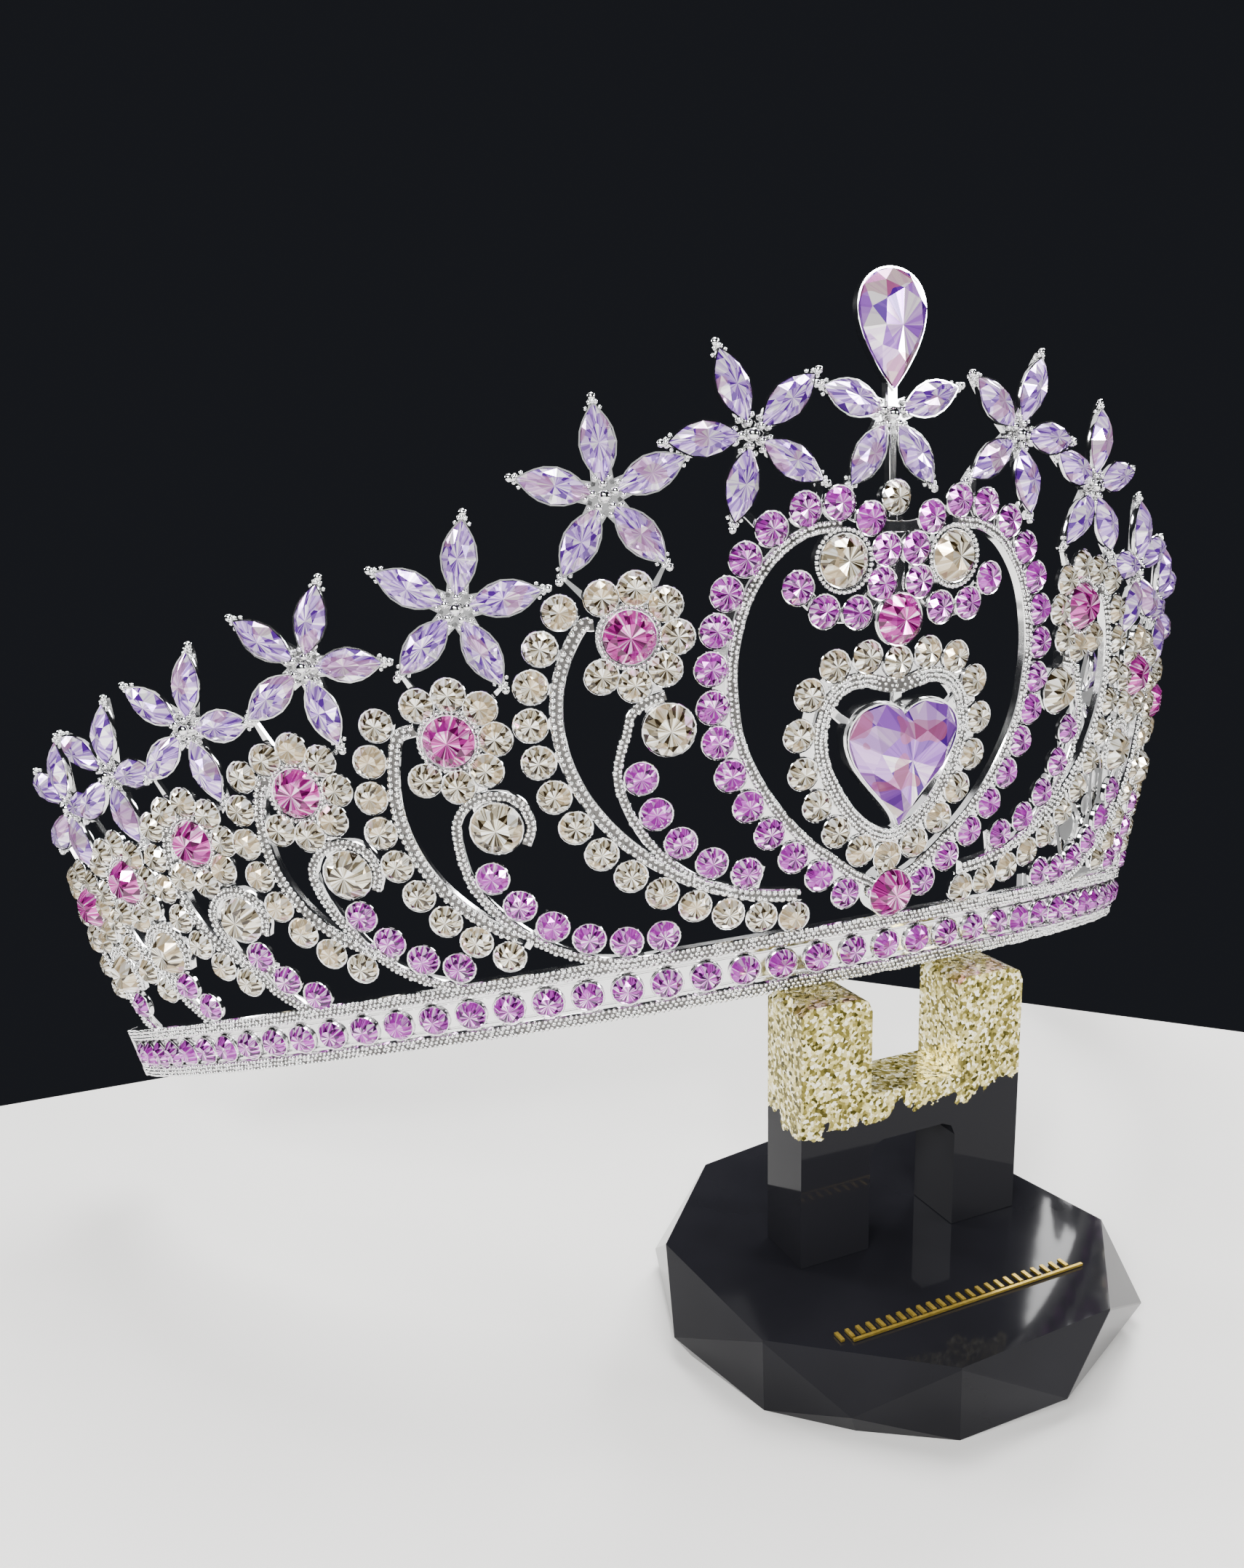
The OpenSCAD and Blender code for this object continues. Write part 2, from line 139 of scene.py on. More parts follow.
class Finish:
    """A material under construction."""

    def __init__(self, name):
        self.material = bpy.data.materials.new(name)
        self.material.use_nodes = True
        self.tree = self.material.node_tree
        self.tree.nodes.clear()

    def node(self, kind, settings, *values, out=0, **named):
        """Adds a node: its settings first, then its inputs in order or by name, as values or links."""
        made = self.tree.nodes.new(kind)
        for key, value in settings.items():
            if key == "stops":
                ramp = made.color_ramp
                for stop in value[2:]:
                    ramp.elements.new(stop[0])
                for element, (position, colour) in zip(ramp.elements, value):
                    element.position = position
                    element.color = (*colour, 1)
            else:
                setattr(made, key, value)
        pairs = list(enumerate(values)) + [(k.replace("_", " "), v) for k, v in named.items()]
        for key, value in pairs:
            if isinstance(value, Socket):
                self.tree.links.new(value.output, made.inputs[key])
            else:
                made.inputs[key].default_value = value
        return Socket(self, made.outputs[out])

    def place(self):
        return self.node("ShaderNodeTexCoord", {}, out="Object")

    def noise(self, scale, detail=2):
        return self.node("ShaderNodeTexNoise", {}, Vector=self.place(), Scale=scale, Detail=detail)

    def bump(self, height, strength, distance):
        return self.node("ShaderNodeBump", {}, Height=height, Strength=strength, Distance=distance * MM)

    def blend(self, share, first, second):
        """Mixes two colours by a share from 0 to 1."""
        mix = self.tree.nodes.new("ShaderNodeMix")
        mix.data_type = "RGBA"
        for key, value in ((0, share), (6, first), (7, second)):
            if isinstance(value, Socket):
                self.tree.links.new(value.output, mix.inputs[key])
            else:
                mix.inputs[key].default_value = value if key == 0 else (*value, 1)
        return Socket(self, mix.outputs[2])

    def done(self, **sockets):
        """Ends the material in a Principled shader with these sockets."""
        shader = self.node("ShaderNodeBsdfPrincipled", {}, **sockets)
        end = self.tree.nodes.new("ShaderNodeOutputMaterial")
        self.tree.links.new(shader.output, end.inputs["Surface"])
        return self.material


# The casting is white metal with a bright rhodium-like plating: mirror smooth on the strips and
# a little frosted where beads and fillets meet, and painted darker there as shade between the
# beads. Its flat back was only tumbled.
BACK_SATIN = 0.36


def plating():
    """Polished silver, with painted shade and a frosted finish on the faces marked as shaded recesses,
    and satin where the back attribute is 1; a fine noise moves its roughness."""
    finish = Finish("silver_plating")
    grain = finish.noise(900, 3)
    cloud = finish.noise(160, 2)
    recess = finish.node("ShaderNodeAttribute", {"attribute_name": "recess"}, out="Fac")
    back = finish.node("ShaderNodeAttribute", {"attribute_name": "back"}, out="Fac")
    bright = finish.blend(cloud, (0.97, 0.97, 0.965), (0.84, 0.84, 0.84))
    # The near-black colour (0.13, 0.125, 0.12) is painted shade on the bar tops between the beads.
    return finish.done(Base_Color=finish.blend(recess, bright, (0.13, 0.125, 0.12)), Metallic=1.0,
                       Roughness=0.05 + 0.10 * grain + 0.2 * recess + BACK_SATIN * back,
                       Normal=finish.bump(grain, 0.08, 0.05))


silver = plating()


# The whole tiara is one flat casting that was bent into an arc: it flares outwards as it rises
# and leans back on the stand. A place on it is s, along the rail from the middle, z, over the
# rail, and n, in front of the sheet's back, in millimetres as in the CAD part.
FRONT_RADIUS = 92
SIDE_TURN = 2.9
FLARE = 0.508
FLARE_FADE = 0.132
FLARE_CURVE = 0.00147
SHEET_BACK = 0.8
PITCH = np.radians(20.1)
RAIL_HEIGHT = 48.3


def heading(s):
    """The rail's heading in radians: s over the front radius, and a cube law that closes the ends."""
    return s / FRONT_RADIUS + np.radians(SIDE_TURN) * (s / 100) ** 3


LINE_STEP = 2.0
LINE_STEPS = 70
line_heading = heading((np.arange(LINE_STEPS) + 0.5) * LINE_STEP)
line_s = np.arange(LINE_STEPS + 1) * LINE_STEP
line_x = np.concatenate([[0], np.cumsum(np.cos(line_heading))]) * LINE_STEP
line_y = np.concatenate([[0], np.cumsum(np.sin(line_heading))]) * LINE_STEP


def tilt(p):
    """Turns points backwards about the x axis by the pitch."""
    x, y, z = np.moveaxis(p, -1, 0)
    return np.stack([x, y * np.cos(PITCH) + z * np.sin(PITCH), z * np.cos(PITCH) - y * np.sin(PITCH)], -1)


def slope(s):
    """How far the sheet runs out for each millimetre up, at the rail."""
    return FLARE - FLARE_FADE * (s / 100) ** 2


def axes(s, z):
    """The directions along, up and out of the sheet, as the columns of a 3 by 3 array."""
    h = heading(s)
    lean = slope(s) - 2 * FLARE_CURVE * z
    along = tilt(np.stack([np.cos(h), np.sin(h), 0 * h], -1))
    out = unit(tilt(np.stack([np.sin(h), -np.cos(h), -lean], -1)))
    return np.stack([along, np.cross(out, along), out], -1)


def at(s, z, n=0.0):
    """The point at s and z, n in front of the back: the rail's line, moved out by slope times z less
    curve times z squared."""
    s, z = np.asarray(s, float), np.asarray(z, float)
    h = heading(s)
    o = slope(s) * z - FLARE_CURVE * z * z - SHEET_BACK
    x = np.sign(s) * np.interp(abs(s), line_s, line_x) + np.sin(h) * o
    y = np.interp(abs(s), line_s, line_y) - np.cos(h) * o
    lift = np.asarray(n)[..., None] * axes(s, z)[..., 2]
    return tilt(np.stack([x, y, z], -1)) + [0, 0, RAIL_HEIGHT] + lift


def shell(rings, closed=False):
    """Skins rings of points, anticlockwise about the way they are stacked, as points, quads and
    triangles; the ends are filled to their middles, or joined when closed."""
    count, m = rings.shape[:2]
    i = np.arange(count if closed else count - 1)[:, None] * m
    a = np.arange(m)
    b = (a + 1) % m
    j = (i + m) % (count * m)
    quads = np.stack([i + a, i + b, j + b, j + a], -1).reshape(-1, 4)
    points = rings.reshape(-1, 3)
    if closed:
        return points, quads, np.zeros((0, 3), int)
    first = np.stack([b, a, np.full(m, count * m)], -1)
    last = np.stack([(count - 1) * m + a, (count - 1) * m + b, np.full(m, count * m + 1)], -1)
    return np.concatenate([points, rings[[0, -1]].mean(1)]), quads, np.concatenate([first, last])


def joined(shapes):
    """One shape out of several."""
    shift = np.cumsum([0] + [len(s[0]) for s in shapes])
    return (np.concatenate([s[0] for s in shapes]),
            np.concatenate([s[1] + k for s, k in zip(shapes, shift)]),
            np.concatenate([s[2] + k for s, k in zip(shapes, shift)]))


def copies(shape, origins, turns, size=1.0):
    """One copy of a shape for each origin: its points times size, turned by the axes, and moved."""
    points, quads, triangles = shape
    size = np.broadcast_to(size, len(origins))[:, None, None]
    put = np.einsum("nij,vj->nvi", turns, points) * size + origins[:, None]
    shift = np.arange(len(origins))[:, None, None] * len(points)
    return put.reshape(-1, 3), (quads + shift).reshape(-1, 4), (triangles + shift).reshape(-1, 3)


def piece(name, shape, material, slot, crease=None, **marks):
    """Makes an object of a shape in millimetres. Edges sharper than crease degrees stay sharp, or all
    are flat; a mark is a number for each face, kept as an attribute."""
    points, quads, triangles = shape
    mesh = bpy.data.meshes.new(name)
    mesh.vertices.add(len(points))
    mesh.vertices.foreach_set("co", (points * MM).ravel())
    corners = np.concatenate([quads.ravel(), triangles.ravel()])
    sides = np.concatenate([np.full(len(quads), 4), np.full(len(triangles), 3)])
    mesh.loops.add(len(corners))
    mesh.loops.foreach_set("vertex_index", corners)
    mesh.polygons.add(len(sides))
    mesh.polygons.foreach_set("loop_start", np.cumsum(sides) - sides)
    for mark, values in marks.items():
        mesh.attributes.new(mark, "FLOAT", "FACE").data.foreach_set("value", values.astype(np.float32))
    mesh.update(calc_edges=True)
    mesh.polygons.foreach_set("use_smooth", np.full(len(sides), crease is not None))
    if crease is not None:
        mesh.set_sharp_from_angle(angle=np.radians(crease))
    mesh.materials.append(material)
    made = bpy.data.objects.new(name, mesh)
    bpy.context.collection.objects.link(made)
    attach(made, "root")
    return made


BACK_FACING = 0.8


def faces_back(shape):
    """1 for each face whose normal points about to the middle of the arc, and 0 for the rest."""
    points, quads, triangles = shape
    q, t = points[quads], points[triangles]
    normal = np.concatenate([np.cross(q[:, 2] - q[:, 0], q[:, 3] - q[:, 1]),
                             np.cross(t[:, 1] - t[:, 0], t[:, 2] - t[:, 0])])
    inward = np.array([0, FRONT_RADIUS, 0]) - np.concatenate([q.mean(1), t.mean(1)])
    size = np.linalg.norm(normal, axis=1) + 1e-12
    share = np.sum(normal[:, :2] / size[:, None] * unit(inward[:, :2]), 1)
    return (share > BACK_FACING).astype(float)


def metal(name, shape, crease=35, **marks):
    """A piece of the plated casting, which stands for the CAD frame."""
    made = piece(name, shape, silver, "silver_metal", crease, back=faces_back(shape), **marks)
    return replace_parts(made, "tiara_frame")


def sweep(path, section, closed=False):
    """Carries a section along a path of s, z places. The section's first measure runs to the left of
    the way, its second outwards."""
    s, z = np.asarray(path, float).T
    p = at(s, z)
    out = axes(s, z)[..., 2]
    way = np.roll(p, -1, 0) - np.roll(p, 1, 0) if closed else np.gradient(p, axis=0)
    left = unit(np.cross(out, way))
    section = np.asarray(section, float)
    return shell(p[:, None] + section[:, :1] * left[:, None] + section[:, 1:] * out[:, None], closed)


def curve(path, each, closed=False):
    """A smooth line through the places: Catmull and Rom's cubic between each two, in each steps."""
    path = np.asarray(path, float)
    if closed:
        p = np.concatenate([path[-1:], path, path[:2]])
    else:
        p = np.concatenate([2 * path[:1] - path[1:2], path, 2 * path[-1:] - path[-2:-1]])
    t = (np.arange(each) / each)[None, :, None]
    a, b, c, d = (p[k:len(p) - 3 + k, None] for k in range(4))
    square = 2 * a - 5 * b + 4 * c - d
    cube = 3 * b - a - 3 * c + d
    line = ((2 * b + (c - a) * t + square * t ** 2 + cube * t ** 3) / 2).reshape(-1, 2)
    return line if closed else np.concatenate([line, path[-1:]])


def beads_along(path, across, height, pace, shift=0.0, closed=False):
    """Even places for beads along a path: their middles, and the axes way, left and out as columns."""
    path = np.asarray(path, float)
    if closed:
        path = np.concatenate([path, path[:1]])
    length = np.concatenate([[0], np.cumsum(np.linalg.norm(np.diff(at(*path.T), axis=0), axis=1))])
    count = int(length[-1] / pace)
    q = (np.arange(count) + 0.5 + shift) / count * length[-1]
    s = np.interp(q, length, path[:, 0])
    z = np.interp(q, length, path[:, 1])
    e = length[-1] * 1e-3
    way = unit(at(np.interp(q + e, length, path[:, 0]), np.interp(q + e, length, path[:, 1]))
               - at(np.interp(q - e, length, path[:, 0]), np.interp(q - e, length, path[:, 1])))
    out = axes(s, z)[..., 2]
    left = unit(np.cross(out, way))
    return at(s, z) + across * left + height * out, np.stack([way, left, out], -1)


def lathe(profile, sides):
    """Turns a profile of radius and height, from the foot to the top, round the outward axis."""
    radius, height = np.asarray(profile, float).T
    angle = np.arange(sides) * 2 * np.pi / sides
    return shell(np.stack([radius[:, None] * np.cos(angle), radius[:, None] * np.sin(angle),
                           np.broadcast_to(height[:, None], (len(radius), sides))], -1))


BEAD = lathe([[0.5, -0.45], [0.9, 0.1], [0.72, 0.62], [0.3, 0.92]], 6)
BEAD_FOOT = 1.02
BEAD_DRIFT = 0.06
BEAD_SPREAD = 0.2
BEAD_CREASE = 80


def milgrain(name, lines, pace, radius):
    """Rows of fine beads: each line is a path, its rows' places across, and closed or not. Every second
    row is shifted by half a bead, and the beads' sizes and places vary a little by a seed."""
    rows = [beads_along(path, across, BEAD_FOOT, pace, 0.5 * (k % 2), closed)
            for path, places, closed in lines for k, across in enumerate(places)]
    origins = np.concatenate([r[0] for r in rows])
    turns = np.concatenate([r[1] for r in rows])
    vary = np.random.default_rng(5).uniform(-1, 1, (len(origins), 4))
    size = radius * (1 + BEAD_SPREAD * vary[:, 3])
    return metal(name, copies(BEAD, origins + BEAD_DRIFT * vary[:, :3], turns, size), BEAD_CREASE)


# The rail is a polished strip with a bead wire along each edge and two fine grooves, closed by a
# small bar at each end. It was cast with the rest.
RAIL_HALF = 127
RAIL_STONE_Z = 2.7
LOWER_WIRE_Z = 0.05
UPPER_WIRE_Z = 5.85
RAIL_WIRE_WIDE = 1.7
RAIL_BEAD_ROWS = (-0.54, 0, 0.54)
PLATE_DEPTH = 0.6
STRIP_EDGE = 0.75
GROOVES = (1.95, -1.55)
GROOVE_HALF = 0.16
GROOVE_FLOOR = 0.38
END_BAR_Z = (-0.7, 3, 6.7)


def wire_section(width, high, low=0.0):
    """A bar with a flat back, upright sides and a shouldered top, from low to high."""
    w = width / 2
    side = high - min(0.22, (high - low) / 3)
    return [[-w, low], [w, low], [w, side], [w * 0.8, high], [-w * 0.8, high], [-w, side]]


def on_edge(shape, edge, edges):
    """1 for the faces of a sweep that lie along one edge of its section, and 0 for the rest."""
    return np.concatenate([np.arange(len(shape[1])) % edges == edge, np.zeros(len(shape[2]))])


def bead_wires(name, paths, width):
    """Bars along the paths for rows of beads to stand on, each top painted dark as shade between beads.
    """
    bars = joined([sweep(path, wire_section(width, BEAD_FOOT)) for path in paths])
    metal(name, bars, recess=on_edge(bars, 3, 6))


def rail():
    """Strip, wires and end bars, swept along s."""
    s = np.linspace(-RAIL_HALF, RAIL_HALF, 181)
    low, high = LOWER_WIRE_Z - RAIL_STONE_Z, UPPER_WIRE_Z - RAIL_STONE_Z
    strip = [[low, 0.0], [high, 0.0], [high, STRIP_EDGE]]
    for groove in GROOVES:
        strip += [[groove + GROOVE_HALF, PLATE_DEPTH], [groove, GROOVE_FLOOR],
                  [groove - GROOVE_HALF, PLATE_DEPTH]]
    strip += [[low, STRIP_EDGE]]
    shapes = [sweep(np.stack([s, 0 * s + RAIL_STONE_Z], -1), strip)]
    for side in (-1, 1):
        end = [[side * RAIL_HALF, z] for z in END_BAR_Z]
        shapes.append(sweep(curve(end, 4), wire_section(2, 1.4, -0.1)))
    metal("rail_strip", joined(shapes))
    lines = [np.stack([s, 0 * s + z], -1) for z in (LOWER_WIRE_Z, UPPER_WIRE_Z)]
    bead_wires("rail_wires", lines, RAIL_WIRE_WIDE)
    milgrain("rail_beads", [(line, RAIL_BEAD_ROWS, False) for line in lines], 0.66, 0.36)


rail()


# Every small stone stands in a round cup of its own, cast with a thin rim that was pressed over
# the stone's edge. The large stones' cups are the same, only wider.
SMALL_WIDE = 4.0
SMALL_HIGH = 1.1
LARGE_WIDE = 6.3
LARGE_HIGH = 1.8
FACETS = 8
TABLE_SHARE = 0.56
HALF_FACET = 22.5
STONE_SEAT = 0.75
STONE_PITCH = 4.9
RAIL_SIDE_STONES = 25
RAIL_SHIFT = 1.0


def cup(radius, depth):
    """Outside of a cup and its rim for a stone of this radius that sits depth over the cup's foot."""
    wall = [[radius * 0.8, 0], [radius * 0.92, 0.1], [radius + 0.02, 0.35], [radius + 0.05, depth]]
    rim = [[radius + 0.13, depth + 0.1], [radius + 0.13, depth + 0.2], [radius + 0.06, depth + 0.27],
           [radius - 0.05, depth + 0.24], [radius - 0.1, depth + 0.05]]
    return lathe(wall + rim, 20)


def spots(places, n, turn=0.0):
    """Origins and axes for things that stand on the sheet at s, z places, turned by degrees."""
    s, z = np.asarray(places, float).reshape(-1, 2).T
    a = np.radians(np.broadcast_to(turn, s.shape))
    spin = np.zeros((len(s), 3, 3))
    spin[:, 0, 0] = spin[:, 1, 1] = np.cos(a)
    spin[:, 1, 0], spin[:, 0, 1] = np.sin(a), -np.sin(a)
    spin[:, 2, 2] = 1
    return at(s, z, n), axes(s, z) @ spin


def gem(outline, m, height, table, dip, edge=0.18, middle=0.8):
    """A cut stone over its outline: a girdle of 2 m points, m kites, m stars, 2 m girdle facets and a
    table whose 2 m parts fall by dip to its middle, as the back facets show through. The other two
    results are the tones of its quads and triangles: painted light and dark facets that stand for the
    reflections and glints in the cut."""
    k = np.arange(2 * m)
    full = outline(k / (2 * m))
    star = outline((np.arange(m) + 0.5) / m) * middle
    top = full[::2] * table
    between = (top + np.roll(top, -1, 0)) / 2
    middle_of = full.mean(0)[None] * table
    levels = [(full * 0.94, 0.0), (full, edge), (star, edge + (height - edge) * 0.58), (top, height),
              (between, height), (middle_of, height - dip), (full.mean(0)[None], 0.0)]
    points = np.concatenate([np.column_stack([p, np.full(len(p), h)]) for p, h in levels])
    a = np.arange(m)
    b = (a + 1) % m
    foot, girdle, stars, tops, mids = k, 2 * m + k, 4 * m + a, 5 * m + a, 6 * m + a
    centre, base = np.full(m, 7 * m), 7 * m + 1
    after = np.roll(k, -1)
    quads = np.concatenate([
        np.stack([foot, after, girdle[after], girdle], -1),
        np.stack([girdle[::2], stars, tops, np.roll(stars, 1)], -1),
        np.stack([tops, stars, tops[b], mids], -1)])
    triangles = np.concatenate([
        np.stack([girdle[::2], girdle[1::2], stars], -1),
        np.stack([girdle[1::2], girdle[2 * b], stars], -1),
        np.stack([tops, mids, centre], -1), np.stack([mids, tops[b], centre], -1),
        np.stack([after, foot, np.full(2 * m, base)], -1)])
    odd = a % 2
    # The tones alternate light and dark: painted reflections of the back facets and painted glints.
    tone = [np.full(2 * m, 0.3), 0.75 - 0.15 * odd, 0.1 + 0.2 * odd, 0.85 + 0 * a, 0.1 + 0 * a,
            0.9 - 0.2 * odd, 0.15 + 0.35 * odd, np.full(2 * m, 0.2)]
    return (points, quads, triangles), np.concatenate(tone[:3]), np.concatenate(tone[3:])


def round_outline(wide):
    """A circle of this width, as a function of t, the share of a turn."""
    return lambda t: wide / 2 * np.stack([np.cos(2 * np.pi * t), np.sin(2 * np.pi * t)], -1)


def glass(name, deep, middle, pale, glow, warm, wedges=1.0):
    """Foiled glass: each facet's tone runs from the deep tint to a painted white glint over a mirror
    back. Light and dark wedges, sines of the angle round the stone, and fine lines between them are
    painted reflections of its back facets seen through the table; a noise sets patches painted with
    the reflection of something warm. A faint emission in the same colour is painted glow."""
    finish = Finish(name)
    facet = finish.node("ShaderNodeAttribute", {"attribute_name": "tone"}, out="Fac")
    spot = finish.node("ShaderNodeUVMap", {"uv_map": "facing"})
    across = finish.node("ShaderNodeSeparateXYZ", {}, spot, out="X")
    up = finish.node("ShaderNodeSeparateXYZ", {}, spot, out="Y")
    angle = finish.node("ShaderNodeMath", {"operation": "ARCTAN2"}, up, across)
    light = angle.math("SINE", angle * 8 + 5 * facet) > 0.35
    dark = angle.math("SINE", angle * 13 + 9 * facet) > 0.3
    line = angle.math("ABSOLUTE", angle.math("COSINE", angle * 4)) > 0.985
    tone = facet + 0.2 * wedges * light - 0.42 * wedges * dark + 0.4 * wedges * line
    stops = [(0.0, deep), (0.38, middle), (0.78, pale), (1.0, glow)]
    ramp = finish.node("ShaderNodeValToRGB", {"stops": stops}, tone, out="Color")
    colour = finish.blend(0.55 * (finish.noise(240, 1) > 0.58), ramp, warm)
    # The emission is painted light: every stone glows a little in its own colour.
    return finish.done(Base_Color=colour, Metallic=0.35 + 0.3 * facet, Roughness=0.12 - 0.07 * facet,
                       IOR=1.5, Coat_Weight=0.4, Coat_Roughness=0.02, Coat_IOR=1.6,
                       Emission_Color=colour, Emission_Strength=0.13)


# In each glass the fourth colour is the painted glint and the fifth the painted warm reflection.
lilac = glass("lilac_glass", (0.06, 0.01, 0.17), (0.34, 0.19, 0.55), (0.72, 0.56, 0.87),
              (1.0, 0.97, 1.0), (0.36, 0.17, 0.26), 0.7)
purple = glass("purple_glass", (0.03, 0.0, 0.04), (0.25, 0.01, 0.25), (0.50, 0.11, 0.55),
               (1.0, 0.78, 1.0), (0.34, 0.02, 0.36))
pink = glass("pink_glass", (0.06, 0.0, 0.035), (0.33, 0.01, 0.20), (0.58, 0.08, 0.40),
             (1.0, 0.66, 0.90), (0.30, 0.01, 0.22))
champagne = glass("clear_glass", (0.02, 0.012, 0.004), (0.30, 0.25, 0.16), (0.86, 0.82, 0.68),
                  (1.0, 1.0, 0.98), (0.50, 0.38, 0.22))


def stones(name, kind, origins, turns, material, slot, nodes, seed, spread=0.34):
    """One piece of many stones of one cut. Each facet's tone is the cut's own and a seeded share more or
    less; the map facing keeps each point's place on its stone as shares of the half width and height."""
    shape, quad_tone, triangle_tone = kind
    count = len(origins)
    tone = np.concatenate([np.tile(quad_tone, count), np.tile(triangle_tone, count)])
    tone = np.clip(tone + np.random.default_rng(seed).uniform(-spread, spread, len(tone)), 0, 1)
    made = piece(name, copies(shape, origins, turns), material, slot, tone=tone)
    corners = np.empty(len(made.data.loops), np.int32)
    made.data.loops.foreach_get("vertex_index", corners)
    flat = shape[0][:, :2] / abs(shape[0][:, :2]).max(0)
    made.data.uv_layers.new(name="facing").data.foreach_set("uv", flat[corners % len(flat)].ravel())
    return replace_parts(made, *nodes) if nodes else made


small_cut = gem(round_outline(SMALL_WIDE), FACETS, SMALL_HIGH, TABLE_SHARE, 0.25)
large_cut = gem(round_outline(LARGE_WIDE), FACETS, LARGE_HIGH, TABLE_SHARE, 0.4)
small_cup = cup(SMALL_WIDE / 2, STONE_SEAT)
large_cup = cup(LARGE_WIDE / 2, STONE_SEAT)
small_places = []


def small_stones(name, places, material, slot, nodes, seed):
    """A string of small stones on the sheet; their cups are made together later."""
    origins, turns = spots(places, STONE_SEAT, HALF_FACET)
    small_places.append((origins - STONE_SEAT * turns[..., 2], turns))
    stones(name, small_cut, origins, turns, material, slot, nodes, seed)


rail_s = np.arange(-RAIL_SIDE_STONES, RAIL_SIDE_STONES + 1) * STONE_PITCH + RAIL_SHIFT
small_stones("rail_gems", np.stack([rail_s, 0 * rail_s + RAIL_STONE_Z], -1), purple, "purple_glass",
             ["rail_stones"], 2)


# The middle loop is a double-lobed wire with purple stones outside it, and within it hang two
# lobes, a cluster and the wreath of clear stones round the heart.
LOOP_HALF = [[5.5, 10.1], [9, 12.7], [12.3, 15.4], [15.1, 18.6], [17.4, 22.1], [19.2, 25.9],
             [20.3, 29.8], [20.6, 33.7], [20.5, 37.9], [19.7, 41.9], [18.4, 45.7], [16.4, 49.1],
             [13.7, 52], [10.3, 53.8], [6.8, 54.2], [3.5, 52.4]]
LOOP_FOOT = [2.2, 8.8]
WREATH_HALF = [[0, 36.4], [3.7, 37.3], [7.45, 36.6], [10.3, 33.7], [11.55, 29.3], [11.1, 24.9],
               [9.4, 21], [7, 17.6], [3.75, 14.95], [0, 13.8]]
CLUSTER_HALF = [[1.7, 49], [2.2, 45.3], [4.95, 42.3], [8.6, 42.7], [11.3, 45.5]]
SEAT_FROM = 0.2
SEAT_START = 1.85
SEAT_SIDE = 0.9
LOOP_EDGE = 3.2
WREATH_EDGE = 3.7
LOOP_BEAD_ROWS = (2.2, 2.85)
WREATH_BEAD_ROWS = (-2.2, -2.8, -3.4)


def seat_section(edge, side=1):
    """A plate under the stones and a bead wire out to edge at their left, or right for side -1."""
    wire = [[edge, SEAT_SIDE], [edge - 0.1, BEAD_FOOT], [SEAT_START + 0.1, BEAD_FOOT],
            [SEAT_START, SEAT_SIDE]]
    floor = [[SEAT_START, PLATE_DEPTH], [SEAT_FROM, PLATE_DEPTH]]
    section = np.array([[SEAT_FROM, 0], [edge, 0]] + wire + floor)
    return section if side > 0 else section[::-1] * [-1, 1]


loop_half = np.array(LOOP_HALF, float)
loop_row = np.concatenate([loop_half[::-1] * [-1, 1], loop_half])
wreath_half = np.array(WREATH_HALF, float)
wreath_row = np.concatenate([wreath_half, wreath_half[-2:0:-1] * [-1, 1]])
cluster_rows = [np.array(CLUSTER_HALF) * [side, 1] for side in (-1, 1)]
seat_half = np.concatenate([[LOOP_FOOT], loop_half[:-1]])
loop_line = curve(np.concatenate([seat_half[::-1] * [-1, 1], seat_half]), 6)
wreath_line = curve(wreath_row, 6, closed=True)
loop_wire = sweep(loop_line, seat_section(LOOP_EDGE))
wreath_wire = sweep(wreath_line, seat_section(WREATH_EDGE, -1), closed=True)
# The tops of these bead wires carry painted shade between the beads.
metal("loop_wire", loop_wire, recess=on_edge(loop_wire, 3, 8))
metal("wreath_wire", wreath_wire, recess=on_edge(wreath_wire, 3, 8))
milgrain("middle_beads", [(loop_line, LOOP_BEAD_ROWS, False), (wreath_line, WREATH_BEAD_ROWS, True)],
         0.64, 0.36)
small_stones("loop_gems", loop_row, purple, "purple_glass", ["loop_stones"], 3)
small_stones("wreath_gems", wreath_row, champagne, "clear_glass", ["wreath_stones"], 4)
small_stones("cluster_gems", np.concatenate(cluster_rows), purple, "purple_glass", ["cluster_stones"], 5)


# Six scrolls a side spring from the rosettes: a bead wire that runs down to the rail with clear
# stones on its outside, and one that hooks over the large clear stone with purple stones.

# A row holds the rosette's s and z; where the first outer stone is from there, the string's first
# heading, its turn, the turn's fade and the count; the same, with no fade, for the inner stones.
SCROLLS = [
    [28, 42.5, [-6.2, 3.7], 236, 12.7, 0.255, 14, [-0.6, -15.4], 285, 16.7, 5],
    [47.1, 34.7, [-6.9, 3.3], 245.5, 11.3, 0, 9, [1.1, -16.1], 301.5, 14.6, 6],
    [65, 32.5, [-6, 3.3], 245, 13.2, 0, 8, [2.7, -15.7], 303, 17.5, 4],
    [81.6, 29.6, [-5.7, 3.3], 247, 15, 0, 7, [3.4, -15.5], 306, 18, 3],
    [97.6, 27.2, [-5.5, 3.3], 248, 17, 0, 6, [3.6, -15.3], 312, 18, 2],
    [113, 25.6, [-5.5, 3.3], 248, 19, 0, 5, [3, -15.3], 318, 18, 1]]
OUTER_PACE = 4.15
INNER_PACE = 4.37
OUTER_GAP = 2.6
INNER_GAP = 2.45
OUTER_WIRE_WIDE = 1.6
INNER_WIRE_WIDE = 1.2
OUTER_BEAD_ROWS = (-0.4, 0.4)
INNER_BEAD_ROWS = (-0.3, 0.3)
WIRE_TIP = [4, 4.4]
LARGE_NEARER = 2.8
LARGE_BELOW = 10.5
HOOK = [[2.75, -2.4], [3.65, -0.5], [3.3, 1.8], [2.0, 3.2], [0, 3.75], [-2.0, 3.35], [-3.6, 2.1],
        [-4.3, 0.2]]


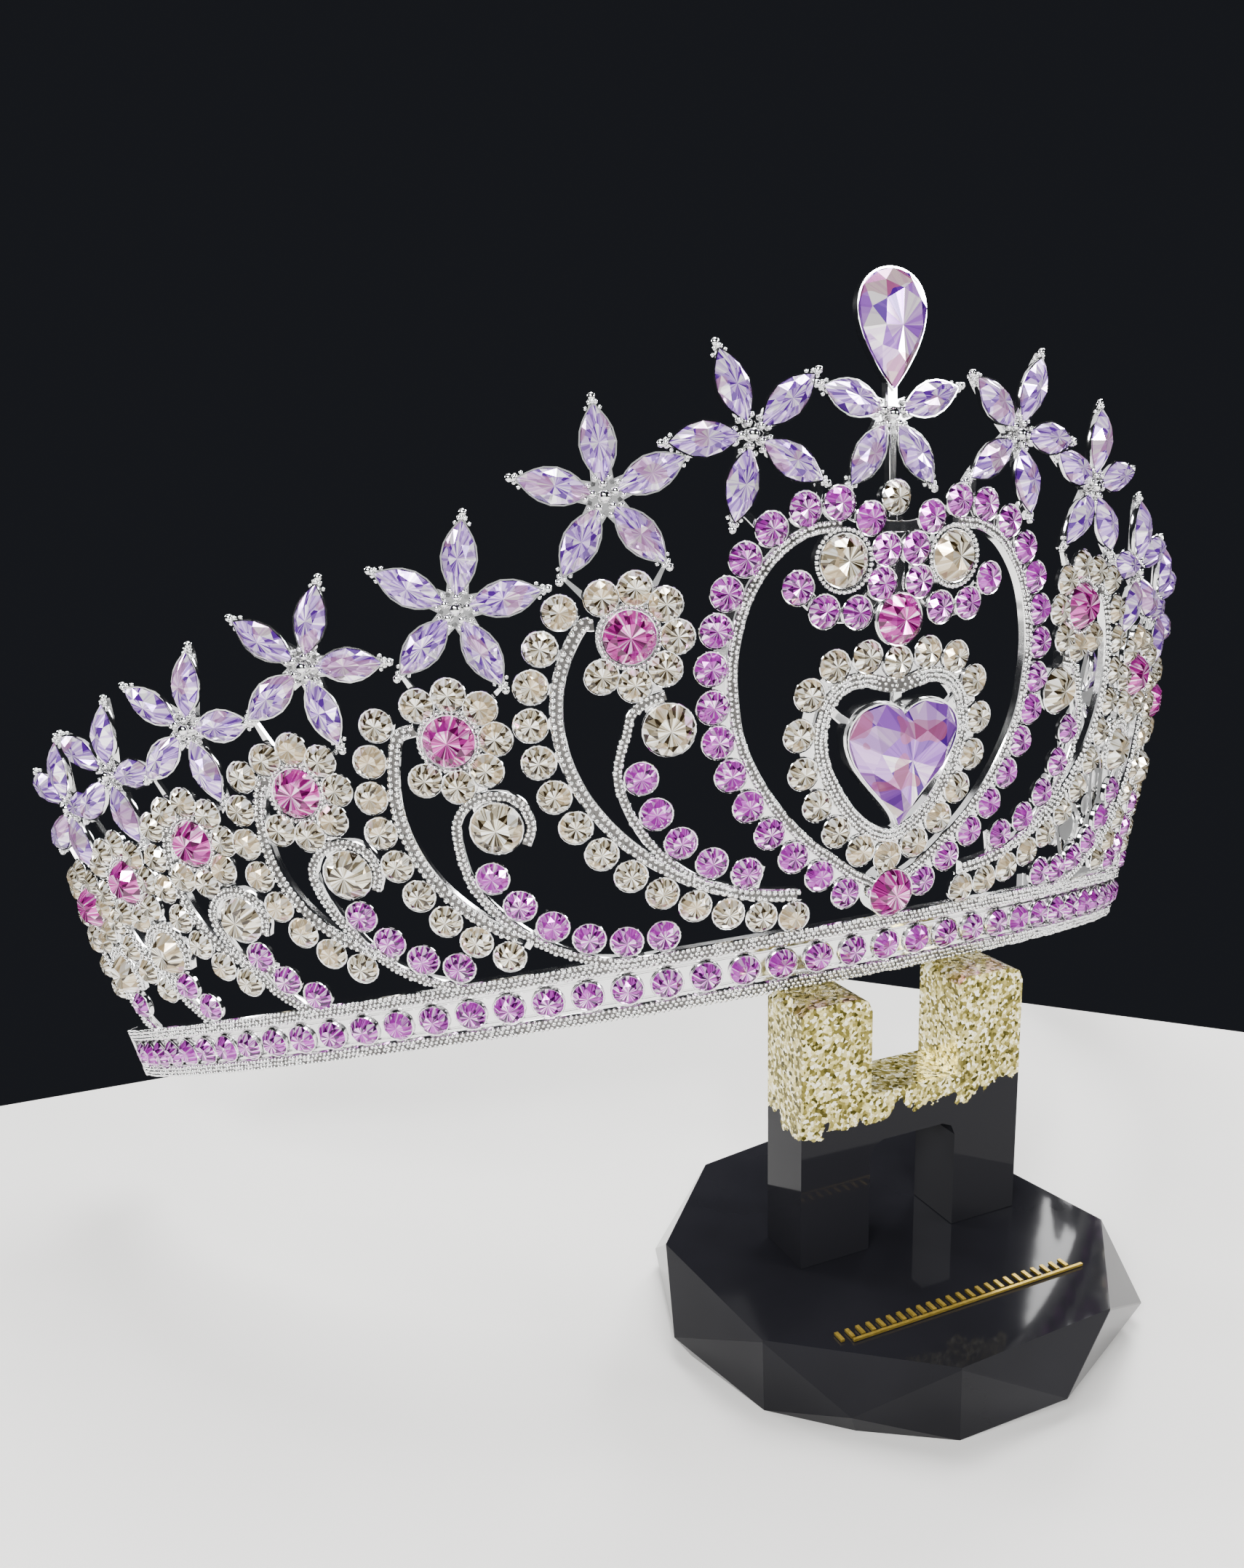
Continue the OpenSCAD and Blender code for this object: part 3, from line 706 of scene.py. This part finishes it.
def row(start, first, turn, fade, count, pace):
    """Places a pace apart whose heading is first + turn t - fade t t at the t-th."""
    t = np.arange(count - 1)
    angle = np.radians(first + turn * t - fade * t * t)
    steps = pace * np.stack([np.cos(angle), np.sin(angle)], -1)
    return np.asarray(start, float) + np.concatenate([[[0, 0]], np.cumsum(steps, 0)])


def outer_row(scroll, more=0):
    """The clear stones outside a left scroll, and places for so many more."""
    start = [scroll[2][0] - scroll[0], scroll[1] + scroll[2][1]]
    return row(start, *scroll[3:6], scroll[6] + more, OUTER_PACE)


def inner_row(scroll, more=0):
    """The purple stones inside a left scroll, and places for so many more."""
    start = [scroll[7][0] - scroll[0], scroll[1] + scroll[7][1]]
    return row(start, scroll[8], scroll[9], 0, scroll[10] + more, INNER_PACE)


def moved(path, d):
    """A path moved by d to the left of its way."""
    way = unit(np.gradient(path, axis=0))
    return path + d * np.stack([-way[:, 1], way[:, 0]], -1)


def sided(path, side):
    """A left path as it is, or mirrored to the right."""
    return np.asarray(path) * [-side, 1]


def scroll_lines(number):
    """The outer wire, and the hook with the inner wire, of a left scroll. Three outer wires and the
    last inner one run on past their last stone, and the first hook starts clear of the loop."""
    scroll = SCROLLS[number]
    s, z = -scroll[0], scroll[1]
    beyond = outer_row(scroll, 1 if 1 < number < 5 else 0)
    outer = moved(np.concatenate([[[s - WIRE_TIP[0], z + WIRE_TIP[1]]], beyond]), OUTER_GAP)
    inner = moved(inner_row(scroll, 1 if number == 5 else 0), -INNER_GAP)
    bend = np.array(HOOK[4:] if number == 0 else HOOK) + [s + LARGE_NEARER, z - LARGE_BELOW]
    halfway = (bend[-1:] + inner[:1]) / 2 - [0.4, 0]
    return curve(outer, 5), curve(np.concatenate([bend, halfway, inner]), 5)


def scroll_wires():
    """The wires and beads of all scrolls."""
    for side, word in ((-1, "left"), (1, "right")):
        lines = [[sided(line, side) for line in scroll_lines(number)] for number in range(len(SCROLLS))]
        outer, inner = zip(*lines)
        bead_wires(f"outer_wires_{word}", outer, OUTER_WIRE_WIDE)
        milgrain(f"outer_beads_{word}", [(line, OUTER_BEAD_ROWS, False) for line in outer], 0.76, 0.43)
        bead_wires(f"inner_wires_{word}", inner, INNER_WIRE_WIDE)
        milgrain(f"inner_beads_{word}", [(line, INNER_BEAD_ROWS, False) for line in inner], 0.62, 0.35)


def plate(outline, low, high):
    """A flat plate with its outline anticlockwise, between two heights."""
    outline = np.asarray(outline, float)
    rings = [np.column_stack([outline, np.full(len(outline), h)]) for h in (low, high)]
    return shell(np.stack(rings))


def web_plate():
    """A small cast web from a cup to its wire: a plate that widens towards both, its sides arcs."""
    x = np.linspace(1.5, INNER_GAP - 0.2, 5)
    half = 0.42 + 0.9 * ((x - 1.9) / 0.6) ** 2
    return plate(np.concatenate([np.stack([x, -half], -1), np.stack([x, half], -1)[::-1]]), 0.05, 0.85)


def webs():
    """One web for each stone of the strings, turned square to its row and towards the wire."""
    made = []
    for scroll in SCROLLS:
        for path, towards in ((outer_row(scroll), 1), (inner_row(scroll), -1)):
            if len(path) > 1:
                for side in (-1, 1):
                    row_here = sided(path, side)
                    way = np.gradient(row_here, axis=0) * towards * -side
                    angle = np.degrees(np.arctan2(way[:, 0], -way[:, 1]))
                    made.append(copies(web_plate(), *spots(row_here, 0, angle)))
    metal("string_webs", joined(made))


scroll_wires()
webs()
for side, word in ((-1, "left"), (1, "right")):
    outer = np.concatenate([sided(outer_row(r), side) for r in SCROLLS])
    inner = np.concatenate([sided(inner_row(r), side) for r in SCROLLS[:2]])
    far = np.concatenate([sided(inner_row(r), side) for r in SCROLLS[2:]])
    small_stones(f"outer_gems_{word}", outer, champagne, "clear_glass", (), 6 + side)
    small_stones(f"purple_gems_{word}", inner, purple, "purple_glass", [f"purple_string_{word}"],
                 9 + side)
    small_stones(f"far_purple_gems_{word}", far, purple, "purple_glass", (), 12 + side)


# Each rosette is a pink stone in a beaded ring with seven clear ones round it, on a plate that
# also carries the large clear stone below and thin arms up to the flowers.
# The stones on the middle line and in the lobes are set the same way.
ROSETTE_RING = 5.5
ROSETTE_FIRST = 119
ROSETTE_STEP = 42
ROSETTE_BEAD_RING = 3.55
LOBE_BEAD_RING = 3.65
RING_BEADS = 36
RING_BEAD_N = 0.9
RING_BEAD_RADIUS = 0.32
PLATE_BACK = -0.6
PLATE_FRONT = 0.3
LOBE = (6.4, 48)
UPPER_PINK = [0, 41.2]
LOWER_PINK = [0, 9.8]
LOWER_PINK_N = 2.1
CREST_STONE = [0, 54.6]
CREST_STONE_N = -0.5
# The two arms of each rosette: angle in degrees, and length.
ARMS = [[[131, 9.9], [56, 9]], [[114, 9.2], [34, 9]], [[107, 10.2], [30, 8.5]],
        [[108, 9.8], [28, 8.4]], [[109, 10.3], [31, 8.2]], [[109, 10.4], [32, 8.3]]]
large_places = []


def large_stones(name, places, n, material, slot, nodes, seed):
    """Large round stones on the sheet; their cups are made together later."""
    origins, turns = spots(places, n, HALF_FACET)
    large_places.append((origins - STONE_SEAT * turns[..., 2], turns))
    stones(name, large_cut, origins, turns, material, slot, nodes, seed)


def disc(radius, low, high, centre=(0, 0)):
    """A round plate."""
    return plate(round_outline(2 * radius)(np.arange(24) / 24) + centre, low, high)


def ring_of_stones(side):
    """Origins and axes of the seven clear stones round every rosette, mirrored on the right."""
    middle, turns = spots([[side * r[0], r[1]] for r in SCROLLS], 0)
    angle = np.radians(ROSETTE_FIRST - ROSETTE_STEP * np.arange(7))
    where = ROSETTE_RING * np.stack([-side * np.cos(angle), np.sin(angle), 0 * angle], -1)
    origins = middle[:, None] + np.einsum("nij,kj->nki", turns, where)
    return origins.reshape(-1, 3), np.repeat(turns, 7, 0)


def bead_ring(base, turns, radius):
    """Places for a ring of beads round one stone."""
    angle = np.arange(RING_BEADS) * 2 * np.pi / RING_BEADS
    where = np.stack([radius * np.cos(angle), radius * np.sin(angle), 0 * angle + RING_BEAD_N], -1)
    return base + where @ turns[0].T, np.repeat(turns, RING_BEADS, 0)


def rosettes():
    """Plates, arms and bead rings."""
    shapes = []
    rings = []
    for scroll, arms in zip(SCROLLS, ARMS):
        for side in (-1, 1):
            base, turns = spots([[side * scroll[0], scroll[1]]], 0)
            lower = (-side * 3.1, -11.1)
            neck = [[-side * 0.4 - 1.2, -9], [-side * 0.4 + 1.2, -9], [1.2, -2], [-1.2, -2]]
            parts = [disc(3.9, PLATE_BACK, PLATE_FRONT), disc(3.0, PLATE_BACK, PLATE_FRONT, lower),
                     plate(np.array(neck) + [-side * 1.6, 0], PLATE_BACK, PLATE_FRONT)]
            for angle, length in arms:
                a = np.radians(angle if side < 0 else 180 - angle)
                turn = np.array([[np.cos(a), np.sin(a)], [-np.sin(a), np.cos(a)]])
                arm = np.array([[3, -0.6], [length, -0.2], [length, 0.2], [3, 0.6]]) @ turn
                parts.append(plate(arm, -0.5, 0.1))
            shapes.append(copies(joined(parts), base, turns))
            rings.append(bead_ring(base, turns, ROSETTE_BEAD_RING))
    for side in (-1, 1):
        base, turns = spots([[side * LOBE[0], LOBE[1]]], 0)
        shapes.append(copies(disc(3.9, -0.1, 0.9), base, turns))
        rings.append(bead_ring(base, turns, LOBE_BEAD_RING))
    metal("rosette_plates", joined(shapes))
    where = [np.concatenate(g) for g in zip(*rings)]
    metal("rosette_beads", copies(BEAD, *where, RING_BEAD_RADIUS), BEAD_CREASE)


rosettes()
for side, word in ((-1, "left"), (1, "right")):
    origins, turns = ring_of_stones(side)
    small_places.append((origins, turns))
    stones(f"rosette_clear_gems_{word}", small_cut, origins + STONE_SEAT * turns[..., 2], turns,
           champagne, "clear_glass", (), 15 + side)
    rosette_middles = [[side * r[0], r[1]] for r in SCROLLS]
    large_middles = [[side * (r[0] - LARGE_NEARER), r[1] - LARGE_BELOW] for r in SCROLLS]
    large_stones(f"rosette_gems_{word}", rosette_middles, STONE_SEAT, pink, "pink_glass",
                 [f"rosette_stones_{word}"], 18 + side)
    large_stones(f"scroll_gems_{word}", large_middles, STONE_SEAT, champagne, "clear_glass",
                 [f"scroll_stones_{word}"], 21 + side)
    large_stones(f"lobe_gem_{word}", [[side * LOBE[0], LOBE[1]]], STONE_SEAT, champagne, "clear_glass",
                 [f"lobe_stone_{word}"], 24 + side)
large_stones("upper_pink_gem", [UPPER_PINK], STONE_SEAT, pink, "pink_glass", ["upper_pink_stone"], 27)
large_stones("lower_pink_gem", [LOWER_PINK], LOWER_PINK_N, pink, "pink_glass", ["lower_pink_stone"], 28)
crest_origin, crest_turn = spots([CREST_STONE], CREST_STONE_N, HALF_FACET)
small_places.append((crest_origin - STONE_SEAT * crest_turn[..., 2], crest_turn))
stones("crest_small_gem", small_cut, crest_origin, crest_turn, champagne, "clear_glass",
       ["crest_small_stone"], 29)
metal("small_cups", copies(small_cup, *[np.concatenate(g) for g in zip(*small_places)]))
metal("large_cups", copies(large_cup, *[np.concatenate(g) for g in zip(*large_places)]))


# Short cast bars and small plates tie the middle loop, the lobes, the heart and the flowers.
# Each row of bars: s, z and n of one end, and of the other.
BARS = [[16.2, 54.1, -0.5, 13.9, 51.1, 0.1], [8.7, 56.7, -0.5, 8.7, 53.5, 0.1],
        [16, 14.9, 0.2, 17.4, 10.9, 0.2], [40.7, 13.5, 0.2, 44.1, 9.7, 0.2]]
CROSS_BAR = [[-6.8, 53.8], [-3.5, 52], [0, 51.4], [3.5, 52], [6.8, 53.8]]
CREST_BACK = -2.2
HEART_HOLDER = [[5.9, 29.9], [8.9, 32.8]]
HEART_TOP_HOLDER = [[0, 30], [0, 34.2]]


def ties():
    """The bars, swept, the heart's holders, and the plates under the pink stones and the cluster."""
    shapes = [sweep([[0, 36], [0, 44], [0, 52]], wire_section(1.6, 0.6, 0.1)),
              sweep(curve(CROSS_BAR, 4), wire_section(1.4, 0.8)),
              sweep([[0, 50.8], [0, 52.5]], wire_section(1, 0.4, CREST_BACK)),
              sweep([[0, 51], [0, 58], [0, 64]], wire_section(1, -1.1, CREST_BACK))]
    for side in (-1, 1):
        for b in BARS:
            path = sided([b[0:2], b[3:5]], -side)
            shapes.append(sweep(path, wire_section(0.9, b[5] + 0.5, min(b[2], b[5]))))
        cluster = np.concatenate([[[0.9, 50.4]], CLUSTER_HALF])
        shapes.append(sweep(curve(sided(cluster, -side), 4), wire_section(2.0, 0.75)))
        shapes.append(sweep(sided(HEART_HOLDER, -side), wire_section(1.1, 0.9, 0.1)))
    shapes.append(copies(disc(3.3, -0.1, 0.4), *spots([UPPER_PINK], 0)))
    shapes.append(copies(disc(3.2, -0.1, LOWER_PINK_N), *spots([LOWER_PINK], 0)))
    shapes.append(copies(disc(1.7, -2.0, CREST_STONE_N), *spots([CREST_STONE], 0)))
    shapes.append(sweep(HEART_TOP_HOLDER, wire_section(1.4, 1.0, 0.1)))
    metal("ties", joined(shapes))


ties()


# Fifteen flowers stand along the top. Each has five marquise stones, the middle one four, in
# thin-walled cups on a cast star, a knot of beads in its middle and balls at every petal's tip.
PETAL_LONG = 8.3
PETAL_WIDE = 3.9
PETAL_HIGH = 1.5
PETAL_OUT = 5.7
PETAL_SEAT = 1.1
PETAL_TURN = 72
# Each flower's s and z, and its first petal's angle in degrees.
FLOWERS = [[14.85, 62, 37.5], [28.6, 57.4, 18], [43.6, 48.5, 2], [60, 46, -9],
           [76.6, 42.9, -8], [92.7, 40.9, -9], [108, 39.6, -6]]
FLOWER_N = -0.7
CREST_N = -2.4
CREST_FLOWER = (0, 63.7, -54)
STAR_HIGH = 0.8
KNOT_N = 1.3
KNOT_RADIUS = 0.8
# Along the petal, across it, in front of the star, and radius of each small ball.
TIP_BALLS = [[10.7, 0, 0.8, 0.52], [10.1, 0.35, 0.9, 0.32], [10.1, -0.35, 0.9, 0.32],
             [9.5, 0.8, 0.7, 0.26], [9.5, -0.8, 0.7, 0.26], [10.2, 0, 1.2, 0.3],
             [1.35, 0, 1.25, 0.5], [2.0, 0.75, 1.1, 0.36], [2.0, -0.75, 1.1, 0.36]]


def petal_outline(grow=0.0):
    """Two parabolas that meet in a point at both ends, from the share t of the way round."""
    def outline(t):
        x = np.cos(2 * np.pi * t)
        x = np.sign(x) * abs(x) ** 0.8
        y = (1 - x * x) * np.sign(np.sin(2 * np.pi * t) + 1e-9)
        return np.stack([x * (PETAL_LONG / 2 + grow), y * (PETAL_WIDE / 2 + grow)], -1)
    return outline


def setting(outline_of, steps, low, high, rim=0.2):
    """A cup wall round a fancy stone: its outline grown at the foot, the rim and just inside the rim."""
    t = np.arange(steps) / steps
    levels = [(-0.1, low), (rim * 0.6, low + 0.25), (rim, high - 0.15), (rim, high), (0.02, high),
              (-0.08, high - 0.3)]
    return shell(np.stack([np.column_stack([outline_of(g)(t), np.full(steps, h)]) for g, h in levels]))


def petal_spots(place, petals, n):
    """Origins and axes of the petals of a flower at s, z with its first petal's angle."""
    angles = place[2] + PETAL_TURN * np.asarray(petals)
    base, turns = spots(np.tile(place[:2], (len(petals), 1)), n, angles)
    return base + PETAL_OUT * turns[..., 0], turns


def flower_metal():
    """Cups, star plates, middle discs and balls of all flowers."""
    t = np.linspace(0, 1, 9)
    arm = np.stack([1.2 + 9.4 * t, 1.3 - 0.4 * t - 0.7 * t ** 4], -1)
    star = plate(np.concatenate([arm * [1, -1], arm[::-1]]), 0, STAR_HIGH)
    hub = disc(2.0, 0.05, 0.75)
    cups = setting(petal_outline, 24, 0.3, 1.25)
    shapes = []
    balls = []
    for place, petals, n in flower_list:
        origins, turns = petal_spots(place, petals, n)
        middles = origins - PETAL_OUT * turns[..., 0]
        shapes += [copies(cups, origins, turns), copies(star, middles, turns),
                   copies(hub, middles[:1], turns[:1])]
        for x, y, z, r in TIP_BALLS:
            balls.append((middles + turns @ [x, y, z], turns, np.full(len(turns), r)))
        balls.append((middles[:1] + KNOT_N * turns[:1, :, 2], turns[:1], np.array([KNOT_RADIUS])))
    metal("flower_cups", joined(shapes))
    ball = lathe([[0.5, -0.87], [0.87, -0.5], [1, 0], [0.87, 0.5], [0.5, 0.87]], 8)
    metal("flower_beads", copies(ball, *[np.concatenate(g) for g in zip(*balls)]), BEAD_CREASE)


flower_list = [((side * f[0], f[1], f[2] if side < 0 else 180 - f[2]), range(5), FLOWER_N)
               for side in (-1, 1) for f in FLOWERS]
flower_nodes = [f"flower_{word}_{i + 1}" for word in ("left", "right") for i in range(len(FLOWERS))]
flower_list.append((CREST_FLOWER, (0, 1, 3, 4), CREST_N))
flower_nodes.append("flower_centre")
flower_metal()
petal_cut = gem(petal_outline(), FACETS, PETAL_HIGH, 0.5, 0.12, 0.2, 0.78)
for number, ((place, petals, n), node) in enumerate(zip(flower_list, flower_nodes)):
    stones(f"petals_{node}", petal_cut, *petal_spots(place, petals, n + PETAL_SEAT), lilac,
           "lilac_glass", [node], 30 + number)


# The heart and the drop are the two great stones. The heart stands in a double-rimmed cup inside
# the wreath, and the drop in a plain cup on top of the middle flower.
HEART_PLACE = [0, 25]
HEART_WIDE = 15.8
HEART_HIGH = 15.6
HEART_SEAT = 2.2
DROP_PLACE = [0, 72.8]
DROP_WIDE = 9.8
DROP_HIGH = 13.4
DROP_SEAT = 1.1


def heart_outline(grow=0.0):
    """The sine-cubed heart curve, scaled to its width and height."""
    def outline(t):
        a = 2 * np.pi * np.asarray(t)
        x = -(HEART_WIDE / 2 + grow) * np.sin(a) ** 3
        y = 13 * np.cos(a) - 4 * np.cos(2 * a) - 1.2 * np.cos(3 * a) - 0.3 * np.cos(4 * a) + 2.9
        return np.stack([x, y / 26.5 * (HEART_HIGH + 2 * grow)], -1)
    return outline


def drop_outline(grow=0.0):
    """A drop with its point down: sin t times sin of its half across, minus cosine up."""
    def outline(t):
        a = 2 * np.pi * np.asarray(t)
        return np.stack([(DROP_WIDE / 2 + grow) * 1.22 * np.sin(a) * np.sin(a / 2),
                         -np.cos(a) * (DROP_HIGH / 2 + grow)], -1)
    return outline


heart_origin, heart_turn = spots([HEART_PLACE], 0)
drop_origin, drop_turn = spots([DROP_PLACE], 0)
heart_cup = joined([setting(heart_outline, 60, -0.1, 2.0, 0.35), setting(heart_outline, 60, 1.4, 2.7)])
metal("heart_setting", copies(heart_cup, heart_origin, heart_turn))
metal("drop_setting", joined([
    copies(setting(drop_outline, 48, CREST_N, CREST_N + 1.4, 0.25), drop_origin, drop_turn),
    sweep([[0, 64.5], [0, 68]], wire_section(1.6, -1.2, CREST_BACK))]))
# Its fourth colour is the painted glint and its fifth the painted warm reflection.
amethyst = glass("amethyst_glass", (0.05, 0.005, 0.16), (0.28, 0.09, 0.48), (0.66, 0.42, 0.76),
                 (1.0, 0.92, 0.95), (0.36, 0.09, 0.12), 0.25)
stones("heart_gem", gem(heart_outline(), FACETS, 2.8, 0.6, 0.3, 0.5, 0.82),
       heart_origin + HEART_SEAT * heart_turn[..., 2], heart_turn, amethyst, "lilac_glass",
       ["heart_stone"], 60, 0.5)
stones("drop_gem", gem(drop_outline(), FACETS, 2.6, 0.6, 0.3, 0.5, 0.82),
       drop_origin + (CREST_N + DROP_SEAT) * drop_turn[..., 2], drop_turn, amethyst, "lilac_glass",
       ["drop_stone"], 61, 0.5)


# The stand is cast resin: clear with gold flakes in the upper part of the posts, glossy black
# below and in the cut base. A line with short bars is painted on the base in gold.
RESIN_IOR = 1.16
FLAKE_SCALE = 2300
FLAKE_LINE = 34.5
FLAKE_WAVE = 8
FLAKE_LEAN = 20


def resin():
    """Black resin: a faint cloud in the roughness, and a shallow ripple."""
    finish = Finish("black_resin")
    cloud = finish.noise(60, 4)
    return finish.done(Base_Color=finish.blend(cloud, (0.004, 0.004, 0.005), (0.012, 0.012, 0.015)),
                       Roughness=0.03 + 0.05 * cloud, IOR=RESIN_IOR,
                       Normal=finish.bump(cloud, 0.05, 0.4))


def flaked_resin():
    """Gold flakes above a height in millimetres that a noise makes wavy, and black resin below; each
    flake is a cell with its own tone."""
    finish = Finish("flaked_resin")
    place = finish.place()
    height = finish.node("ShaderNodeSeparateXYZ", {}, place, out="Z")
    across = finish.node("ShaderNodeSeparateXYZ", {}, place, out="X")
    drip = finish.noise(420, 3)
    mask = height * 1000 + FLAKE_WAVE * drip - FLAKE_LEAN * across > FLAKE_LINE
    flake = finish.node("ShaderNodeTexVoronoi", {}, Vector=place, Scale=FLAKE_SCALE, out="Color")
    tone = finish.node("ShaderNodeSeparateColor", {}, flake, out="Red")
    stops = [(0.0, (0.03, 0.025, 0.0)), (0.35, (0.24, 0.20, 0.05)), (0.7, (0.68, 0.60, 0.26)),
             (1.0, (1.0, 0.97, 0.78))]
    gold = finish.node("ShaderNodeValToRGB", {"stops": stops}, tone, out="Color")
    return finish.done(Base_Color=finish.blend(mask, (0.01, 0.01, 0.012), gold),
                       Metallic=mask * (0.4 + 0.5 * tone), Roughness=0.05 + 0.25 * mask * tone,
                       IOR=RESIN_IOR, Normal=finish.bump(tone * mask, 0.6, 0.4))


def gold_ink():
    """Gold paint: slightly rough, with a fine grain."""
    finish = Finish("gold_ink")
    grain = finish.noise(2500, 2)
    return finish.done(Base_Color=finish.blend(grain, (0.42, 0.28, 0.03), (0.62, 0.45, 0.10)),
                       Metallic=0.9, Roughness=0.25 + 0.25 * grain)


def finish_node(name, material):
    """Gives a CAD node that stays as it is its material."""
    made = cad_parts[name]
    if made.material_slots:
        made.material_slots[0].material = material
    else:
        made.data.materials.append(material)


finish_node("stand_base", resin())
finish_node("stand_upright", flaked_resin())
finish_node("gold_rule", gold_ink())


# The stand is on a plain pale table whose far corner points away from the camera.
TABLE_CORNER = np.array([52.0, 112.0])
TABLE_LEFT = np.array([-154.0, 6.0])
TABLE_RIGHT = np.array([70.0, -78.0])
TABLE_REACH = 900
TABLE_THICK = 8


def table():
    """A slab with one corner behind the tiara, and a faint cloud in its white."""
    left = unit(TABLE_LEFT) * TABLE_REACH
    right = unit(TABLE_RIGHT) * TABLE_REACH
    outline = TABLE_CORNER + np.array([0 * left, left, left + right, right])
    points, quads, triangles = plate(outline, -TABLE_THICK, 0)
    mesh = bpy.data.meshes.new("table")
    mesh.from_pydata((points * MM).tolist(), [], quads.tolist() + triangles.tolist())
    finish = Finish("table_white")
    cloud = finish.noise(14, 3)
    white = finish.blend(cloud, (0.80, 0.79, 0.77), (0.70, 0.69, 0.67))
    mesh.materials.append(finish.done(Base_Color=white, Roughness=0.5 + 0.2 * cloud))
    made = bpy.data.objects.new("table", mesh)
    bpy.context.collection.objects.link(made)


table()
